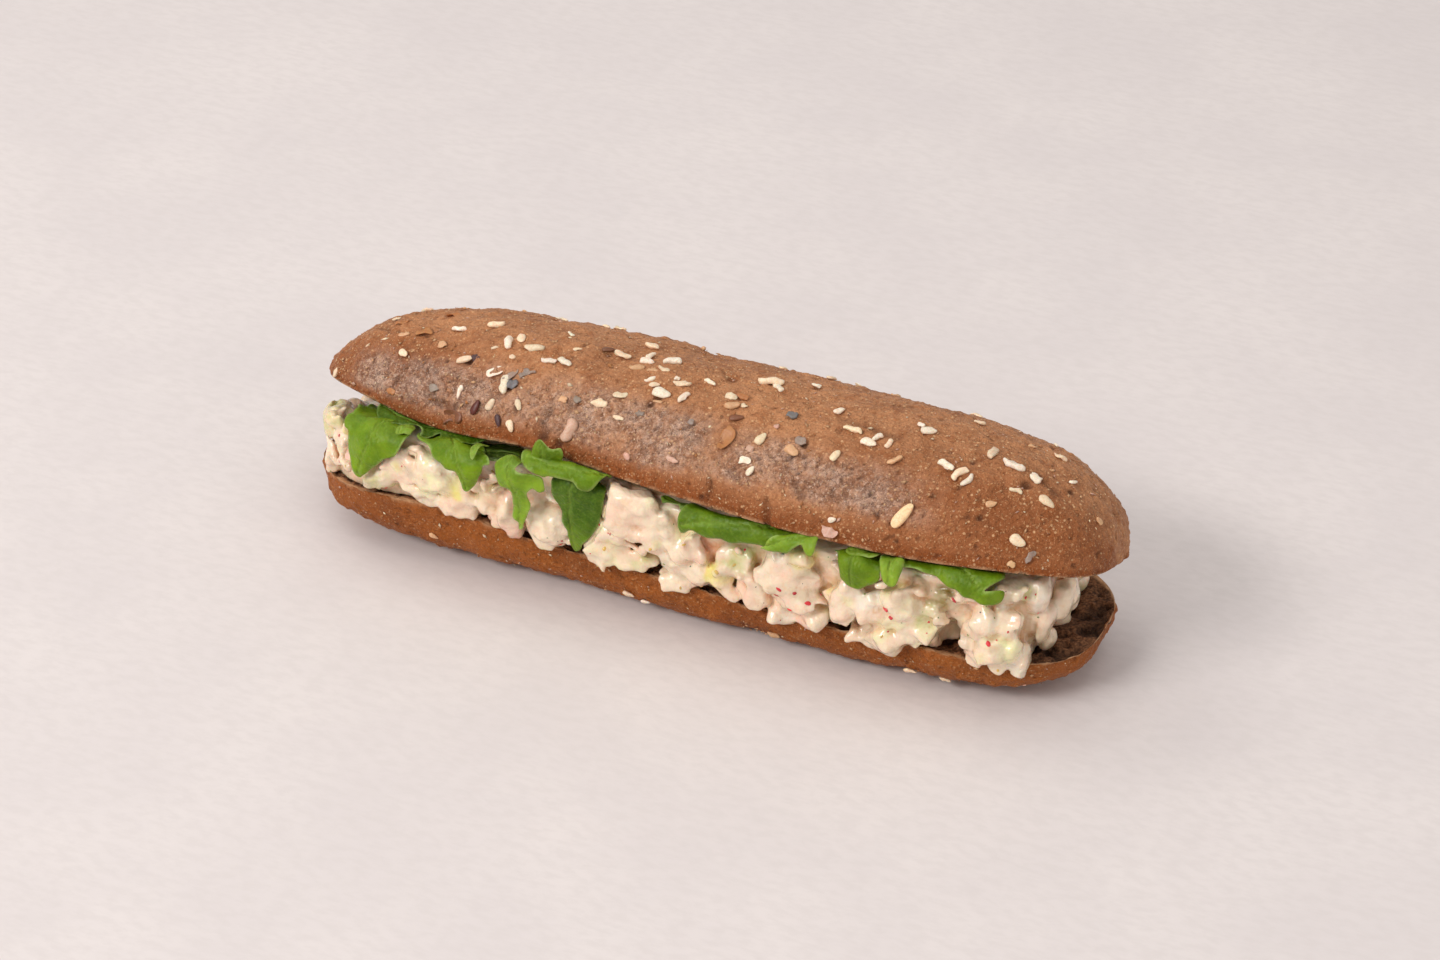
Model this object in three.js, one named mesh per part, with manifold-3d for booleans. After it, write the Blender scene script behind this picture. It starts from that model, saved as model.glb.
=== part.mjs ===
// A chicken salad sandwich in a long dark multigrain roll.
// The roll is cut in two along its length. The lower half lies on its flat base, the heap of
// salad lies on its cut face, rocket leaves hang over the front of the heap, and the upper half
// rests on top, tipped open towards the front.
// Millimetres. +X runs along the roll, -Y is the open front, +Z is up, the base is at z = 0.

import * as THREE from 'three';
import { mergeVertices } from 'three/addons/utils/BufferGeometryUtils.js';
import { ParametricGeometry } from 'three/addons/geometries/ParametricGeometry.js';
import Module from 'manifold-3d';

const wasm = await Module();
wasm.setup();

// Lower half of the roll
const BASE_HALF_LENGTH = 102.5;
const BASE_HALF_WIDTH = 29.5;
const BASE_BOW = 2.5;
const BASE_RIM_HEIGHT = 14;
const BASE_DISH = 1.8;
const BASE_TIP_LEFT = 3.4;
const BASE_TIP_RIGHT = 3.2;
const BASE_SECTION = 3.6;
const BASE_FRONT_SWELL = [6.5, 1, -2, -1.5, -2.5, -1.5, 2.5];
const BASE_RIM_SWELL = [3.5, 4.5, 0, 0, -2.5, -0.5, 0];

// Upper half of the roll
const LID_HALF_LENGTH = 104.7;
const LID_HALF_WIDTH = 30.5;
const LID_RISE = 26;
const LID_HOLLOW = 1;
const LID_TIP_LEFT = 2.3;
const LID_TIP_RIGHT = 3.3;
const LID_RISE_LEFT = 2;
const LID_RISE_RIGHT = 3.2;
const LID_SECTION = 2.1;
const LID_TOP_SWELL = [5.6, 2.4, -0.5, -1, -0.9, 0.4, 2.4];
const LID_FRONT_SWELL = [0, -0.7, -0.6, 0, 0.6, 0.6, 0];
const LID_RIM_SWELL = [1.2, -1.3, 1.5, -0.5, -1.5, -1.4, 0];
const LID_TILT = THREE.MathUtils.degToRad(-18);
const LID_PITCH = THREE.MathUtils.degToRad(-1);
const LID_YAW = THREE.MathUtils.degToRad(-1.3);
const LID_PLACE = new THREE.Vector3(0.4, 0.3, 32.6);

// Where along the roll the swells sit, as parts of its half length, and how wide each is
const SWELL_STATIONS = [-0.9, -0.6, -0.3, 0, 0.3, 0.6, 0.9];
const SWELL_SPREAD = 0.2;
const LUMP_HEIGHT = 0.35;

// Heap of salad
const HEAP_LEFT = -98.5;
const HEAP_RIGHT = 92;
const HEAP_TIP_LEFT = 4;
const HEAP_TIP_RIGHT = 5;
const HEAP_INSET_FRONT = 1;
const HEAP_INSET_BACK = 4.5;
const HEAP_TOP_FRONT = 28.5;
const HEAP_TOP_BACK = 24.5;
const CORE_INSET = 2.4;
const CORE_LIFT = 0.9;
const CORE_HEADROOM = 4;
const GAP = 0.35;
const BREAD_CLEARANCE = 0.53;

// Leaves
const LEAF_THICKNESS = 0.5;
const LEAF_LAYER = 1.3;
const LEAF_BEND = 2;
const LEAF_HEADROOM = 0.8;
const LEAF_ROOM_UNDER = 0.84;
const LEAF_ROOM_OVER = 8;
const LEAF_FLUTTER = 0.35;
const LEAF_STEPS = 9;
const LEAF_ACROSS = 4;
const ROOM_STEPS = 9;
const ROOM_ACROSS = 2;

// Facets
const LOAF_FACETS = { stations: 32, arc: 14, face: 6 };
const ROOM_FACETS = { stations: 20, arc: 8, face: 4 };
const CORE_STATIONS = 20;
const CORE_RING = 16;
const SEED_FUSED_FROM = 4.8;
const ROUND_PIECE_FROM = 5.9;

const clamp = (value, low, high) => Math.max(low, Math.min(high, value));
const mix = (from, to, part) => from + (to - from) * part;
const taper = (u, left, right) => {
  const power = u > 0 ? right : left;
  return Math.max(0, 1 - Math.abs(u) ** power) ** (1 / power);
};

// Random draws that are the same in every run
function draws(seed) {
  let state = seed;
  return () => {
    state = (state * 48271) % 2147483647;
    return state / 2147483647;
  };
}

// Sum of soft swells along the roll, fading out at its tips
function swell(u, heights) {
  let sum = 0;
  for (let i = 0; i < heights.length; i += 1) {
    sum += heights[i] * Math.exp(-(((u - SWELL_STATIONS[i]) / SWELL_SPREAD) ** 2));
  }
  return sum * (1 - u ** 8);
}

// One along the roll, falling to nothing at the very tips
const tips = (u) => 1 - u ** 24;

// Low lumps of the crust, as a height along the surface's normal
function lump(x, around) {
  const slow = Math.sin(x * 0.13 + 2.2 * Math.sin(around * 2));
  const quick = Math.sin(x * 0.31 - around * 3.1);
  return LUMP_HEIGHT * (0.6 * slow + 0.4 * quick) * Math.sin(around);
}

// A point on a superellipse, angle 0 at the front rim and half a turn at the back rim
function section(around, power) {
  const across = -Math.cos(around);
  const out = Math.sin(around);
  const scale = (Math.abs(across) ** power + Math.abs(out) ** power) ** (-1 / power);
  return { across: across * scale, out: out * scale };
}

// Lower half: plan, rim and underside
const baseMiddle = (u) => BASE_BOW * (1 - u * u);
const baseRim = (u) => BASE_RIM_HEIGHT + swell(u, BASE_RIM_SWELL);
function baseReach(u, across) {
  const width = BASE_HALF_WIDTH + (across < 0 ? swell(u, BASE_FRONT_SWELL) : 0);
  return width * taper(u, BASE_TIP_LEFT, BASE_TIP_RIGHT);
}
function baseCutHeight(x, y) {
  const u = clamp(x / BASE_HALF_LENGTH, -1, 1);
  const offset = y - baseMiddle(u);
  const reach = Math.max(baseReach(u, offset), 1e-6);
  const across = clamp(offset / reach, -1, 1);
  return baseRim(u) - BASE_DISH * (1 - across ** 6) * (1 - u ** 12);
}
function basePoint(u, around, grow) {
  const { across, out } = section(around, BASE_SECTION);
  const depth = (baseRim(u) + 0.5) * taper(u, BASE_TIP_LEFT, BASE_TIP_RIGHT);
  const bulge = (lump(u * BASE_HALF_LENGTH, around) + grow) * tips(u);
  const height = baseRim(u) - depth * out;
  return new THREE.Vector3(
    u * (BASE_HALF_LENGTH + grow),
    baseMiddle(u) + across * (baseReach(u, across) + bulge),
    Math.max(0, height) + (out < 0.01 ? grow * tips(u) : 0),
  );
}
function baseFacePoint(u, across, grow) {
  const more = grow * tips(u);
  const y = baseMiddle(u) + across * (baseReach(u, across) + more);
  return new THREE.Vector3(u * (BASE_HALF_LENGTH + grow), y, baseCutHeight(u * BASE_HALF_LENGTH, y) + more);
}

// Upper half, in its own frame with the dome up, then turned and lifted into place
const lidTurn = new THREE.Matrix4().makeRotationFromEuler(
  new THREE.Euler(LID_TILT, LID_PITCH, LID_YAW, 'ZYX'),
);
const lidNormal = new THREE.Vector3(0, 0, 1).transformDirection(lidTurn);
const lidAlong = new THREE.Vector3(1, 0, 0).transformDirection(lidTurn);
const lidAcross = new THREE.Vector3(0, 1, 0).transformDirection(lidTurn);
const intoPlace = (point) => point.applyMatrix4(lidTurn).add(LID_PLACE);
function lidReach(u, across) {
  const width = LID_HALF_WIDTH + (across < 0 ? swell(u, LID_FRONT_SWELL) : 0);
  return width * taper(u, LID_TIP_LEFT, LID_TIP_RIGHT);
}
const lidRim = (u, across) => swell(u, LID_RIM_SWELL) * Math.max(0, -across);
const lidFace = (u, across) => lidRim(u, across) + LID_HOLLOW * (1 - across ** 4) * (1 - u ** 8);
function lidPoint(u, around, grow) {
  const { across, out } = section(around, LID_SECTION);
  const rise = (LID_RISE + swell(u, LID_TOP_SWELL)) * taper(u, LID_RISE_LEFT, LID_RISE_RIGHT);
  const bulge = (lump(u * LID_HALF_LENGTH, around) + grow) * tips(u);
  return new THREE.Vector3(
    u * (LID_HALF_LENGTH + grow),
    across * (lidReach(u, across) + bulge),
    lidRim(u, across) + (rise + bulge) * out - (out < 0.01 ? grow * tips(u) : 0),
  );
}
function lidFacePoint(u, across, grow) {
  const more = grow * tips(u);
  const y = across * (lidReach(u, across) + more);
  return new THREE.Vector3(u * (LID_HALF_LENGTH + grow), y, lidFace(u, across) - more);
}
// Height of the upper half's cut face over a point of the plan
function lidCutHeight(x, y) {
  const dx = x - LID_PLACE.x;
  const dy = y - LID_PLACE.y;
  const flat = LID_PLACE.z - (lidNormal.x * dx + lidNormal.y * dy) / lidNormal.z;
  const from = new THREE.Vector3(dx, dy, flat - LID_PLACE.z);
  const u = clamp(from.dot(lidAlong) / LID_HALF_LENGTH, -1, 1);
  const offset = from.dot(lidAcross);
  const across = clamp(offset / Math.max(lidReach(u, offset), 1e-6), -1, 1);
  return flat + lidFace(u, across) / lidNormal.z;
}

// Heap: its outline in plan at the lower rim and under the upper half
const heapTaper = (x) => {
  const middle = (HEAP_LEFT + HEAP_RIGHT) / 2;
  const half = (HEAP_RIGHT - HEAP_LEFT) / 2;
  return taper(clamp((x - middle) / half, -1, 1), HEAP_TIP_LEFT, HEAP_TIP_RIGHT);
};
function heapEdge(x, side, up) {
  const u = x / BASE_HALF_LENGTH;
  const front = BASE_HALF_WIDTH + swell(u, BASE_FRONT_SWELL) - HEAP_INSET_FRONT;
  const low = side < 0 ? front : BASE_HALF_WIDTH - HEAP_INSET_BACK;
  const high = side < 0 ? HEAP_TOP_FRONT : HEAP_TOP_BACK;
  const belly = side < 0 ? 1.5 : 2.5;
  const middle = mix(baseMiddle(u), 0, up);
  return middle + side * (mix(low, high, up) + belly * 4 * up * (1 - up)) * heapTaper(x);
}
function heapHeight(x, y, up) {
  return mix(baseCutHeight(x, y), lidCutHeight(x, y), up);
}

// Merge shared vertices and drop the facets that close up to nothing
function closed(geometry) {
  geometry.deleteAttribute('normal');
  geometry.deleteAttribute('uv');
  const merged = mergeVertices(geometry, 1e-4);
  const index = merged.index.array;
  const kept = [];
  for (let i = 0; i < index.length; i += 3) {
    const [a, b, c] = [index[i], index[i + 1], index[i + 2]];
    if (a !== b && b !== c && c !== a) kept.push(a, b, c);
  }
  merged.setIndex(kept);
  return facingOut(merged);
}

// Turn the facets round where they face inwards
function facingOut(geometry) {
  const position = geometry.attributes.position;
  const index = Array.from(geometry.index.array);
  const corner = (i) => new THREE.Vector3().fromBufferAttribute(position, index[i]);
  let volume = 0;
  for (let i = 0; i < index.length; i += 3) {
    volume += corner(i).dot(corner(i + 1).cross(corner(i + 2)));
  }
  if (volume < 0) {
    for (let i = 0; i < index.length; i += 3) [index[i], index[i + 1]] = [index[i + 1], index[i]];
    geometry.setIndex(index);
  }
  return geometry;
}

// A closed surface from a function of two parts, both from 0 to 1
function surface(point, alongSteps, roundSteps) {
  const place = (along, round, target) => target.copy(point(along, round));
  return closed(new ParametricGeometry(place, alongSteps, roundSteps));
}

function solidOf(geometry) {
  const mesh = new wasm.Mesh({
    numProp: 3,
    vertProperties: new Float32Array(geometry.attributes.position.array),
    triVerts: new Uint32Array(geometry.index.array),
  });
  return new wasm.Manifold(mesh);
}

// Back to a geometry, keeping only the largest shell, so that scraps and sealed hollows go
function geometryOf(solid) {
  const mesh = solid.getMesh();
  const geometry = new THREE.BufferGeometry();
  geometry.setAttribute('position', new THREE.BufferAttribute(Float32Array.from(mesh.vertProperties), 3));
  geometry.setIndex(Array.from(mesh.triVerts));
  return largestShell(closed(geometry));
}

function largestShell(geometry) {
  const index = geometry.index.array;
  const parent = Array.from({ length: geometry.attributes.position.count }, (_, i) => i);
  const root = (i) => {
    let at = i;
    while (parent[at] !== at) {
      parent[at] = parent[parent[at]];
      at = parent[at];
    }
    return at;
  };
  for (let i = 0; i < index.length; i += 3) {
    parent[root(index[i])] = root(index[i + 1]);
    parent[root(index[i + 1])] = root(index[i + 2]);
  }
  const facets = new Map();
  for (let i = 0; i < index.length; i += 3) {
    const key = root(index[i]);
    if (!facets.has(key)) facets.set(key, []);
    facets.get(key).push(index[i], index[i + 1], index[i + 2]);
  }
  const largest = [...facets.values()].sort((a, b) => b.length - a.length)[0];
  geometry.setIndex(largest);
  return closed(geometry.toNonIndexed());
}

// A half of the roll: an arc of crust from the front rim to the back rim, then the cut face
function loaf(arcPoint, facePoint, grow, facets) {
  const arcPart = facets.arc / (facets.arc + facets.face);
  const point = (along, round) => {
    const u = -Math.cos(Math.PI * along);
    if (round <= arcPart + 1e-9) return arcPoint(u, (Math.PI * round) / arcPart, grow);
    const back = (round - arcPart) / (1 - arcPart);
    if (back > 1 - 1e-9) return arcPoint(u, 0, grow);
    return facePoint(u, Math.cos(Math.PI * back), grow);
  };
  return surface(point, facets.stations, facets.arc + facets.face);
}

// Seeds and flakes on the upper half: place along the roll (mm), place around it (degrees from
// the front rim), kind, turn from the roll's length (degrees) and length (mm)
const SEED_KINDS = {
  sesame: { wide: 0.6, tall: 0.32 },
  oat: { wide: 0.36, tall: 0.22 },
  flake: { wide: 0.55, tall: 0.2 },
  flax: { wide: 0.5, tall: 0.26 },
  kernel: { wide: 0.4, tall: 0.3 },
  round: { wide: 0.95, tall: 0.4 },
};
const LID_SEEDS = [
  [-98, 10, 'sesame', 60, 3.4], [-77, 39, 'sesame', -20, 4], [-80, 54, 'oat', 20, 3.6],
  [-67.5, 50, 'round', 0, 3], [-58.5, 42, 'kernel', 25, 7], [-56.5, 45, 'round', 0, 3],
  [-66, 64, 'oat', 5, 5], [-84, 105, 'round', 0, 4], [-57.5, 72, 'oat', 12, 6],
  [-87, 75, 'oat', 15, 3], [-71, 80, 'flake', -5, 5], [-50.5, 58, 'oat', -65, 7],
  [-48, 63, 'sesame', -60, 4.6], [-43, 58, 'oat', 20, 6], [-49.5, 39, 'flake', 30, 6],
  [-45.5, 32, 'oat', -75, 7], [-45, 38.5, 'flake', 45, 5], [-42, 40, 'flake', 50, 4],
  [-40, 42, 'oat', 40, 3], [-44, 33.5, 'round', 0, 4], [-57, 24, 'oat', 85, 4.4],
  [-51.5, 17, 'flax', 70, 5], [-47.5, 20, 'sesame', 60, 4.2], [-44.5, 12, 'flax', -70, 4],
  [-40.7, 10, 'sesame', -65, 4.2], [-40, 22.5, 'sesame', -55, 3.7], [-57, 8, 'flake', 15, 7.5],
  [-37.5, 52, 'oat', 15, 5], [-33.5, 53, 'oat', -20, 5.5], [-26, 70, 'sesame', 20, 4],
  [-21.5, 68, 'oat', -8, 6], [-33, 110, 'round', 0, 4], [-38, 77, 'oat', -25, 3],
  [-33, 65, 'oat', 25, 3], [-19.5, 34, 'oat', 8, 6], [-15.5, 43, 'flake', 30, 5],
  [-13.5, 30.5, 'oat', 10, 3.6], [-8.8, 36, 'round', 0, 2.6], [-25, 16, 'oat', 75, 7.5],
  [-25.5, 33, 'round', 0, 3], [-29, 31, 'round', 0, 3], [-18, 86, 'sesame', -10, 5],
  [-15.5, 75, 'oat', 80, 4.5], [-15, 69, 'sesame', 10, 5], [-16, 62, 'oat', 30, 5],
  [-9.5, 74, 'oat', 28, 6], [-9.5, 66, 'oat', -10, 4.5], [-11, 57, 'oat', 55, 4],
  [-9, 54, 'sesame', 20, 3.6], [-6, 50, 'sesame', 8, 6], [-3, 59, 'oat', 10, 5.6],
  [-0.5, 52, 'oat', 75, 4.4], [-6, 45, 'oat', 10, 3], [2.5, 66, 'oat', -15, 4.6],
  [-8.7, 13, 'round', 0, 2.4], [3, 18.5, 'oat', -5, 4], [4, 40, 'round', 0, 2.2],
  [13.5, 36, 'flake', 80, 8], [9.5, 61, 'round', 0, 3.6], [12.4, 62, 'round', 0, 3.6],
  [11.5, 55, 'sesame', 30, 5], [14, 49, 'flax', 25, 4.6], [22, 42, 'sesame', 75, 4.6],
  [20.5, 35.5, 'round', 0, 2.6], [20.5, 28.5, 'flake', 10, 4], [22.5, 25, 'sesame', 70, 3.6],
  [15.5, 78, 'oat', 25, 8], [25, 88, 'oat', 0, 3.2], [26, 60, 'round', 0, 3.8],
  [35.5, 70, 'sesame', 60, 3.8], [41.5, 59, 'oat', -8, 6], [31.5, 46.5, 'round', 0, 3.8],
  [30.5, 40, 'sesame', -25, 5.5], [40.8, 43, 'sesame', 70, 4], [46.8, 54, 'sesame', -10, 5],
  [48, 58, 'oat', 60, 4], [51.2, 56, 'oat', 80, 3.6], [54.5, 47.5, 'oat', 40, 5],
  [61, 21.5, 'kernel', 62, 7.6], [58, 70, 'sesame', 20, 5], [66, 52.5, 'oat', -8, 5.5],
  [70, 49, 'oat', 55, 6], [72.2, 46.5, 'oat', 65, 4.6], [74.3, 68, 'oat', 88, 5.6],
  [80, 64, 'oat', -6, 7.6], [86, 61, 'round', 0, 4.6], [83.5, 48, 'oat', -5, 4.2],
  [79.5, 37, 'sesame', 25, 3.4], [90.5, 48, 'sesame', -15, 5.4], [87.5, 20, 'sesame', -20, 5],
  [91, 12, 'flake', 60, 4.4], [87.3, 5.5, 'round', 0, 2.6], [87, 92, 'oat', 25, 4.2],
  [62, 110, 'oat', -5, 4.2], [66, 92, 'oat', 20, 3.6], [45, 6, 'flake', -5, 5],
];
const BACK_SEEDS = 22;
const BASE_SEEDS = [[-10, 30], [-6, 36], [63, 34], [71, 42], [-62, 28], [28, 30]];

// A few more seeds on the side that faces away, drawn like those in front
function backSeeds() {
  const draw = draws(77);
  const kinds = ['sesame', 'oat', 'oat', 'sesame', 'flake', 'round'];
  const rows = [];
  for (let i = 0; i < BACK_SEEDS; i += 1) {
    const x = mix(-88, 92, (i + draw()) / BACK_SEEDS);
    rows.push([x, mix(112, 165, draw()), kinds[i % kinds.length], mix(-90, 90, draw()), mix(3, 6, draw())]);
  }
  return rows;
}

// One seed, half sunk in the crust
function seedOn(pointAt, x, degrees, kind, turn, length) {
  const around = THREE.MathUtils.degToRad(degrees);
  const at = pointAt(x, around);
  const along = pointAt(x + 0.5, around).sub(at).normalize();
  const round = pointAt(x, around + 0.02).sub(at).normalize();
  const normal = new THREE.Vector3().crossVectors(along, round).normalize();
  const side = new THREE.Vector3().crossVectors(normal, along);
  const { wide, tall } = SEED_KINDS[kind];
  const geometry = new THREE.IcosahedronGeometry(1, 0);
  geometry.scale(length / 2, (length * wide) / 2, Math.max(0.75, length * tall * 0.7));
  geometry.rotateZ(THREE.MathUtils.degToRad(turn));
  geometry.applyMatrix4(new THREE.Matrix4().makeBasis(along, side, normal));
  geometry.translate(at.x, at.y, at.z);
  return solidOf(closed(geometry));
}

function breadTop() {
  const crust = (x, around) => intoPlace(lidPoint(x / LID_HALF_LENGTH, around, 0));
  const shell = loaf(lidPoint, lidFacePoint, 0, LOAF_FACETS);
  shell.applyMatrix4(lidTurn);
  shell.translate(LID_PLACE.x, LID_PLACE.y, LID_PLACE.z);
  let solid = solidOf(shell);
  for (const row of [...LID_SEEDS, ...backSeeds()]) {
    if (row[4] >= SEED_FUSED_FROM) solid = solid.add(seedOn(crust, ...row));
  }
  return geometryOf(solid);
}

function breadBottom() {
  const crust = (x, around) => basePoint(x / BASE_HALF_LENGTH, around, 0);
  let solid = solidOf(loaf(basePoint, baseFacePoint, 0, LOAF_FACETS));
  BASE_SEEDS.forEach(([x, degrees], i) => {
    solid = solid.add(seedOn(crust, x, degrees, 'sesame', i % 2 ? -12 : 8, 4.4));
  });
  return geometryOf(solid);
}

// The halves of the roll, grown by the gap, as keep-out solids for the heap
function keepOuts() {
  const lid = loaf(lidPoint, lidFacePoint, BREAD_CLEARANCE, ROOM_FACETS);
  lid.applyMatrix4(lidTurn);
  lid.translate(LID_PLACE.x, LID_PLACE.y, LID_PLACE.z);
  return [solidOf(lid), solidOf(loaf(basePoint, baseFacePoint, BREAD_CLEARANCE, ROOM_FACETS))];
}

// Core of the heap, just inside its outline
function heapCore() {
  const point = (along, round) => {
    const x = mix(HEAP_LEFT + 3, HEAP_RIGHT - 3, 0.5 - 0.5 * Math.cos(Math.PI * along));
    if (along === 0 || along === 1) return new THREE.Vector3(x, 0, heapHeight(x, 0, 0.5));
    const turn = (round * 4) % 4;
    const up = clamp(Math.min(turn, 3 - turn), 0, 1);
    const across = [-1, mix(-1, 1, turn - 1), 1, mix(1, -1, turn - 3)][Math.floor(turn)];
    const front = heapEdge(x, -1, up) + CORE_INSET;
    const back = heapEdge(x, 1, up) - CORE_INSET;
    const y = mix(front, back, (across + 1) / 2);
    const low = baseCutHeight(x, y) + CORE_LIFT;
    const high = lidCutHeight(x, y) - mix(CORE_HEADROOM, CORE_LIFT, clamp((across + 0.2) / 1.2, 0, 1));
    return new THREE.Vector3(x, y, mix(low, high, up));
  };
  return solidOf(surface(point, CORE_STATIONS, CORE_RING));
}

// Pieces of the salad that show at the front: place along the roll (mm), height between the two
// halves (0 to 1), distance out from the heap's outline (mm), half sizes along, out and up (mm)
// and turn seen from the front (degrees)
const FRONT_PIECES = [
  [-93, 0.24, 0.4, 2.8, 3, 4.8, 5], [-92, 0.84, -1, 2.6, 2.6, 2.6, 0], [-86, 0.5, -1.5, 4, 3, 6, 0],
  [-75.5, 0.22, 0.8, 5.6, 3, 2.9, 28], [-68.5, 0.38, 0, 4, 3.4, 5.8, -20], [-60, 0.48, 0.8, 5.6, 3.4, 5.8, 0],
  [-54.5, 0.34, 0.8, 3, 2.6, 3.6, 0], [-63.5, 0.12, 0.6, 6, 3.2, 3, -10], [-54.5, 0.15, 0.6, 4.6, 3.2, 3.8, -8],
  [-46, 0.38, 0, 4, 3, 5, 0], [-45, 0.1, 1, 2.8, 2.8, 3, 0], [-40.6, 0.2, 1.6, 3.4, 3.2, 7.4, -6],
  [-32, 0.26, 1.6, 5.6, 4, 7.4, 8], [-27, 0.3, 0.4, 3.6, 3, 5, 0], [-8.6, 0.68, 1.4, 7.4, 4.4, 7, -10],
  [-16, 0.22, 1.9, 3, 3, 6.6, 16], [-8, 0.16, 1, 6.4, 3.2, 2.7, -4], [-12, 0.42, 0.8, 4.5, 3.4, 4.6, 0],
  [2, 0.42, 0.8, 6.4, 3.6, 7.6, 0], [2.5, 0.05, 2, 4.4, 2.6, 2.6, -12], [8.5, 0.22, 1.2, 4.6, 3.2, 4.4, 0],
  [10.5, 0.46, 0.6, 2.4, 2.6, 3.4, 10], [15, 0.27, 1.2, 3.6, 3, 4.4, 8], [20, 0.48, 0, 5, 3.2, 5, 0],
  [16, 0.1, 1.2, 4.8, 2.8, 2.8, -10], [23.4, 0.26, 1.6, 4, 3.4, 5.2, 24], [34.4, 0.42, 1.8, 7, 4.4, 7.4, 0],
  [37, 0.7, 0.8, 3, 2.6, 3, 0], [31.5, 0.07, 2.5, 4.2, 2.9, 3.6, 0], [38, 0.12, 1.8, 4.4, 3.2, 3.8, -8],
  [48, 0.42, 0.6, 4, 3.4, 6.6, -14], [59, 0.32, 1.8, 7.4, 4.6, 6.6, 0], [57, 0.03, 2.6, 5.6, 3, 3.6, 0],
  [64.5, 0.16, 1.4, 4.6, 3.6, 4.4, 10], [62, 0.52, 0.4, 5, 3.4, 4, 0], [68.5, 0.36, -1.6, 3.4, 3, 4.4, 0],
  [49.5, 0.04, 1.4, 2.6, 2.4, 2.4, 20], [82.5, 0.32, 1.6, 6.6, 4.4, 5.8, 0], [79.5, -0.02, 2.3, 2.6, 2.4, 4, 0],
  [84.6, 0, 2, 1.5, 1.7, 2.6, 0], [88.6, 0.06, 2.1, 4, 3, 4.6, 12], [91, 0.26, 0.6, 3, 3.4, 5, 0],
  [85, 0.62, -1.8, 4, 3, 4, 0], [76, 0.56, -1, 4, 3, 3.6, 0],
];
// The same round the two ends: x, y, height between the halves, half sizes and turn
const END_PIECES = [
  [-96.6, -12, 0.5, 3.6, 5, 4.4, 0], [-98, -4, 0.42, 3.4, 5, 4.8, 0], [-97, 6, 0.5, 3, 4.6, 4.2, 0],
  [-94, 15, 0.4, 3.6, 4, 3.6, 0], [91, -15, 0.55, 3.6, 5, 7.6, 0], [94, -6, 0.5, 3, 4.8, 5.4, 0],
  [90.5, 3, 0.3, 2.8, 4.4, 4.6, 0], [88, 11, 0.35, 3.4, 4.2, 4, 0], [92.4, -12, 0.14, 2.4, 2.6, 3, 0],
  [84, 18, 0.45, 4, 3.8, 4, 0],
];
const BACK_PIECES = 15;

// A rough lump: a low faceted ball with its corners drawn in and out a little
function piece(at, halves, turn, draw) {
  const fine = Math.max(...halves) >= ROUND_PIECE_FROM ? 1 : 0;
  const geometry = new THREE.IcosahedronGeometry(1, fine);
  geometry.deleteAttribute('normal');
  geometry.deleteAttribute('uv');
  const merged = mergeVertices(geometry, 1e-4);
  const position = merged.attributes.position;
  for (let i = 0; i < position.count; i += 1) {
    const scale = mix(0.86, 1.12, draw());
    position.setXYZ(i, position.getX(i) * scale, position.getY(i) * scale, position.getZ(i) * scale);
  }
  merged.scale(...halves);
  merged.rotateY(THREE.MathUtils.degToRad(-turn));
  merged.rotateZ(mix(-0.2, 0.2, draw()));
  merged.translate(at.x, at.y, at.z);
  return solidOf(facingOut(merged));
}

function heapPieces() {
  const draw = draws(4021);
  const pieces = FRONT_PIECES.map(([x, up, out, along, deep, tall, turn]) => {
    const y = heapEdge(x, -1, up) - out + deep * 0.45;
    return piece(new THREE.Vector3(x, y, heapHeight(x, y, up)), [along, deep, tall], turn, draw);
  });
  for (const [x, y, up, along, deep, tall, turn] of END_PIECES) {
    pieces.push(piece(new THREE.Vector3(x, y, heapHeight(x, y, up)), [along, deep, tall], turn, draw));
  }
  for (let i = 0; i < BACK_PIECES; i += 1) {
    const x = mix(-84, 80, (i + 0.3 + 0.4 * draw()) / BACK_PIECES);
    const up = mix(0.25, 0.7, draw());
    const y = heapEdge(x, 1, up) - 1.6;
    const halves = [mix(3, 5.5, draw()), mix(2.8, 4, draw()), mix(2.6, 4, draw())];
    pieces.push(piece(new THREE.Vector3(x, y, heapHeight(x, y, up)), halves, mix(-20, 20, draw()), draw));
  }
  return pieces;
}

// The sheet that leaves lie on: it runs out from under the upper half, bends over the heap's
// top edge and hangs down its front (side -1) or back (side 1); s is the way along it in mm
function sheetPoint(x, s, side, layer, rise) {
  const bend = LEAF_BEND + layer * LEAF_LAYER;
  const quarter = (bend * Math.PI) / 2;
  const start = LEAF_HEADROOM + (2 - layer) * LEAF_LAYER;
  const angle = clamp(s / bend, 0, Math.PI / 2);
  const out = s < 0 ? s : bend * Math.sin(angle);
  const down = start + bend * (1 - Math.cos(angle)) + Math.max(0, s - quarter);
  const height = lidCutHeight(x, heapEdge(x, side, 1)) - baseCutHeight(x, heapEdge(x, side, 0));
  const up = clamp(1 - down / height, -0.2, 1);
  const y = heapEdge(x, side, up) + side * (out + rise);
  return new THREE.Vector3(x, y, lidCutHeight(x, s < 0 ? y : heapEdge(x, side, 1)) - down);
}

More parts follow.
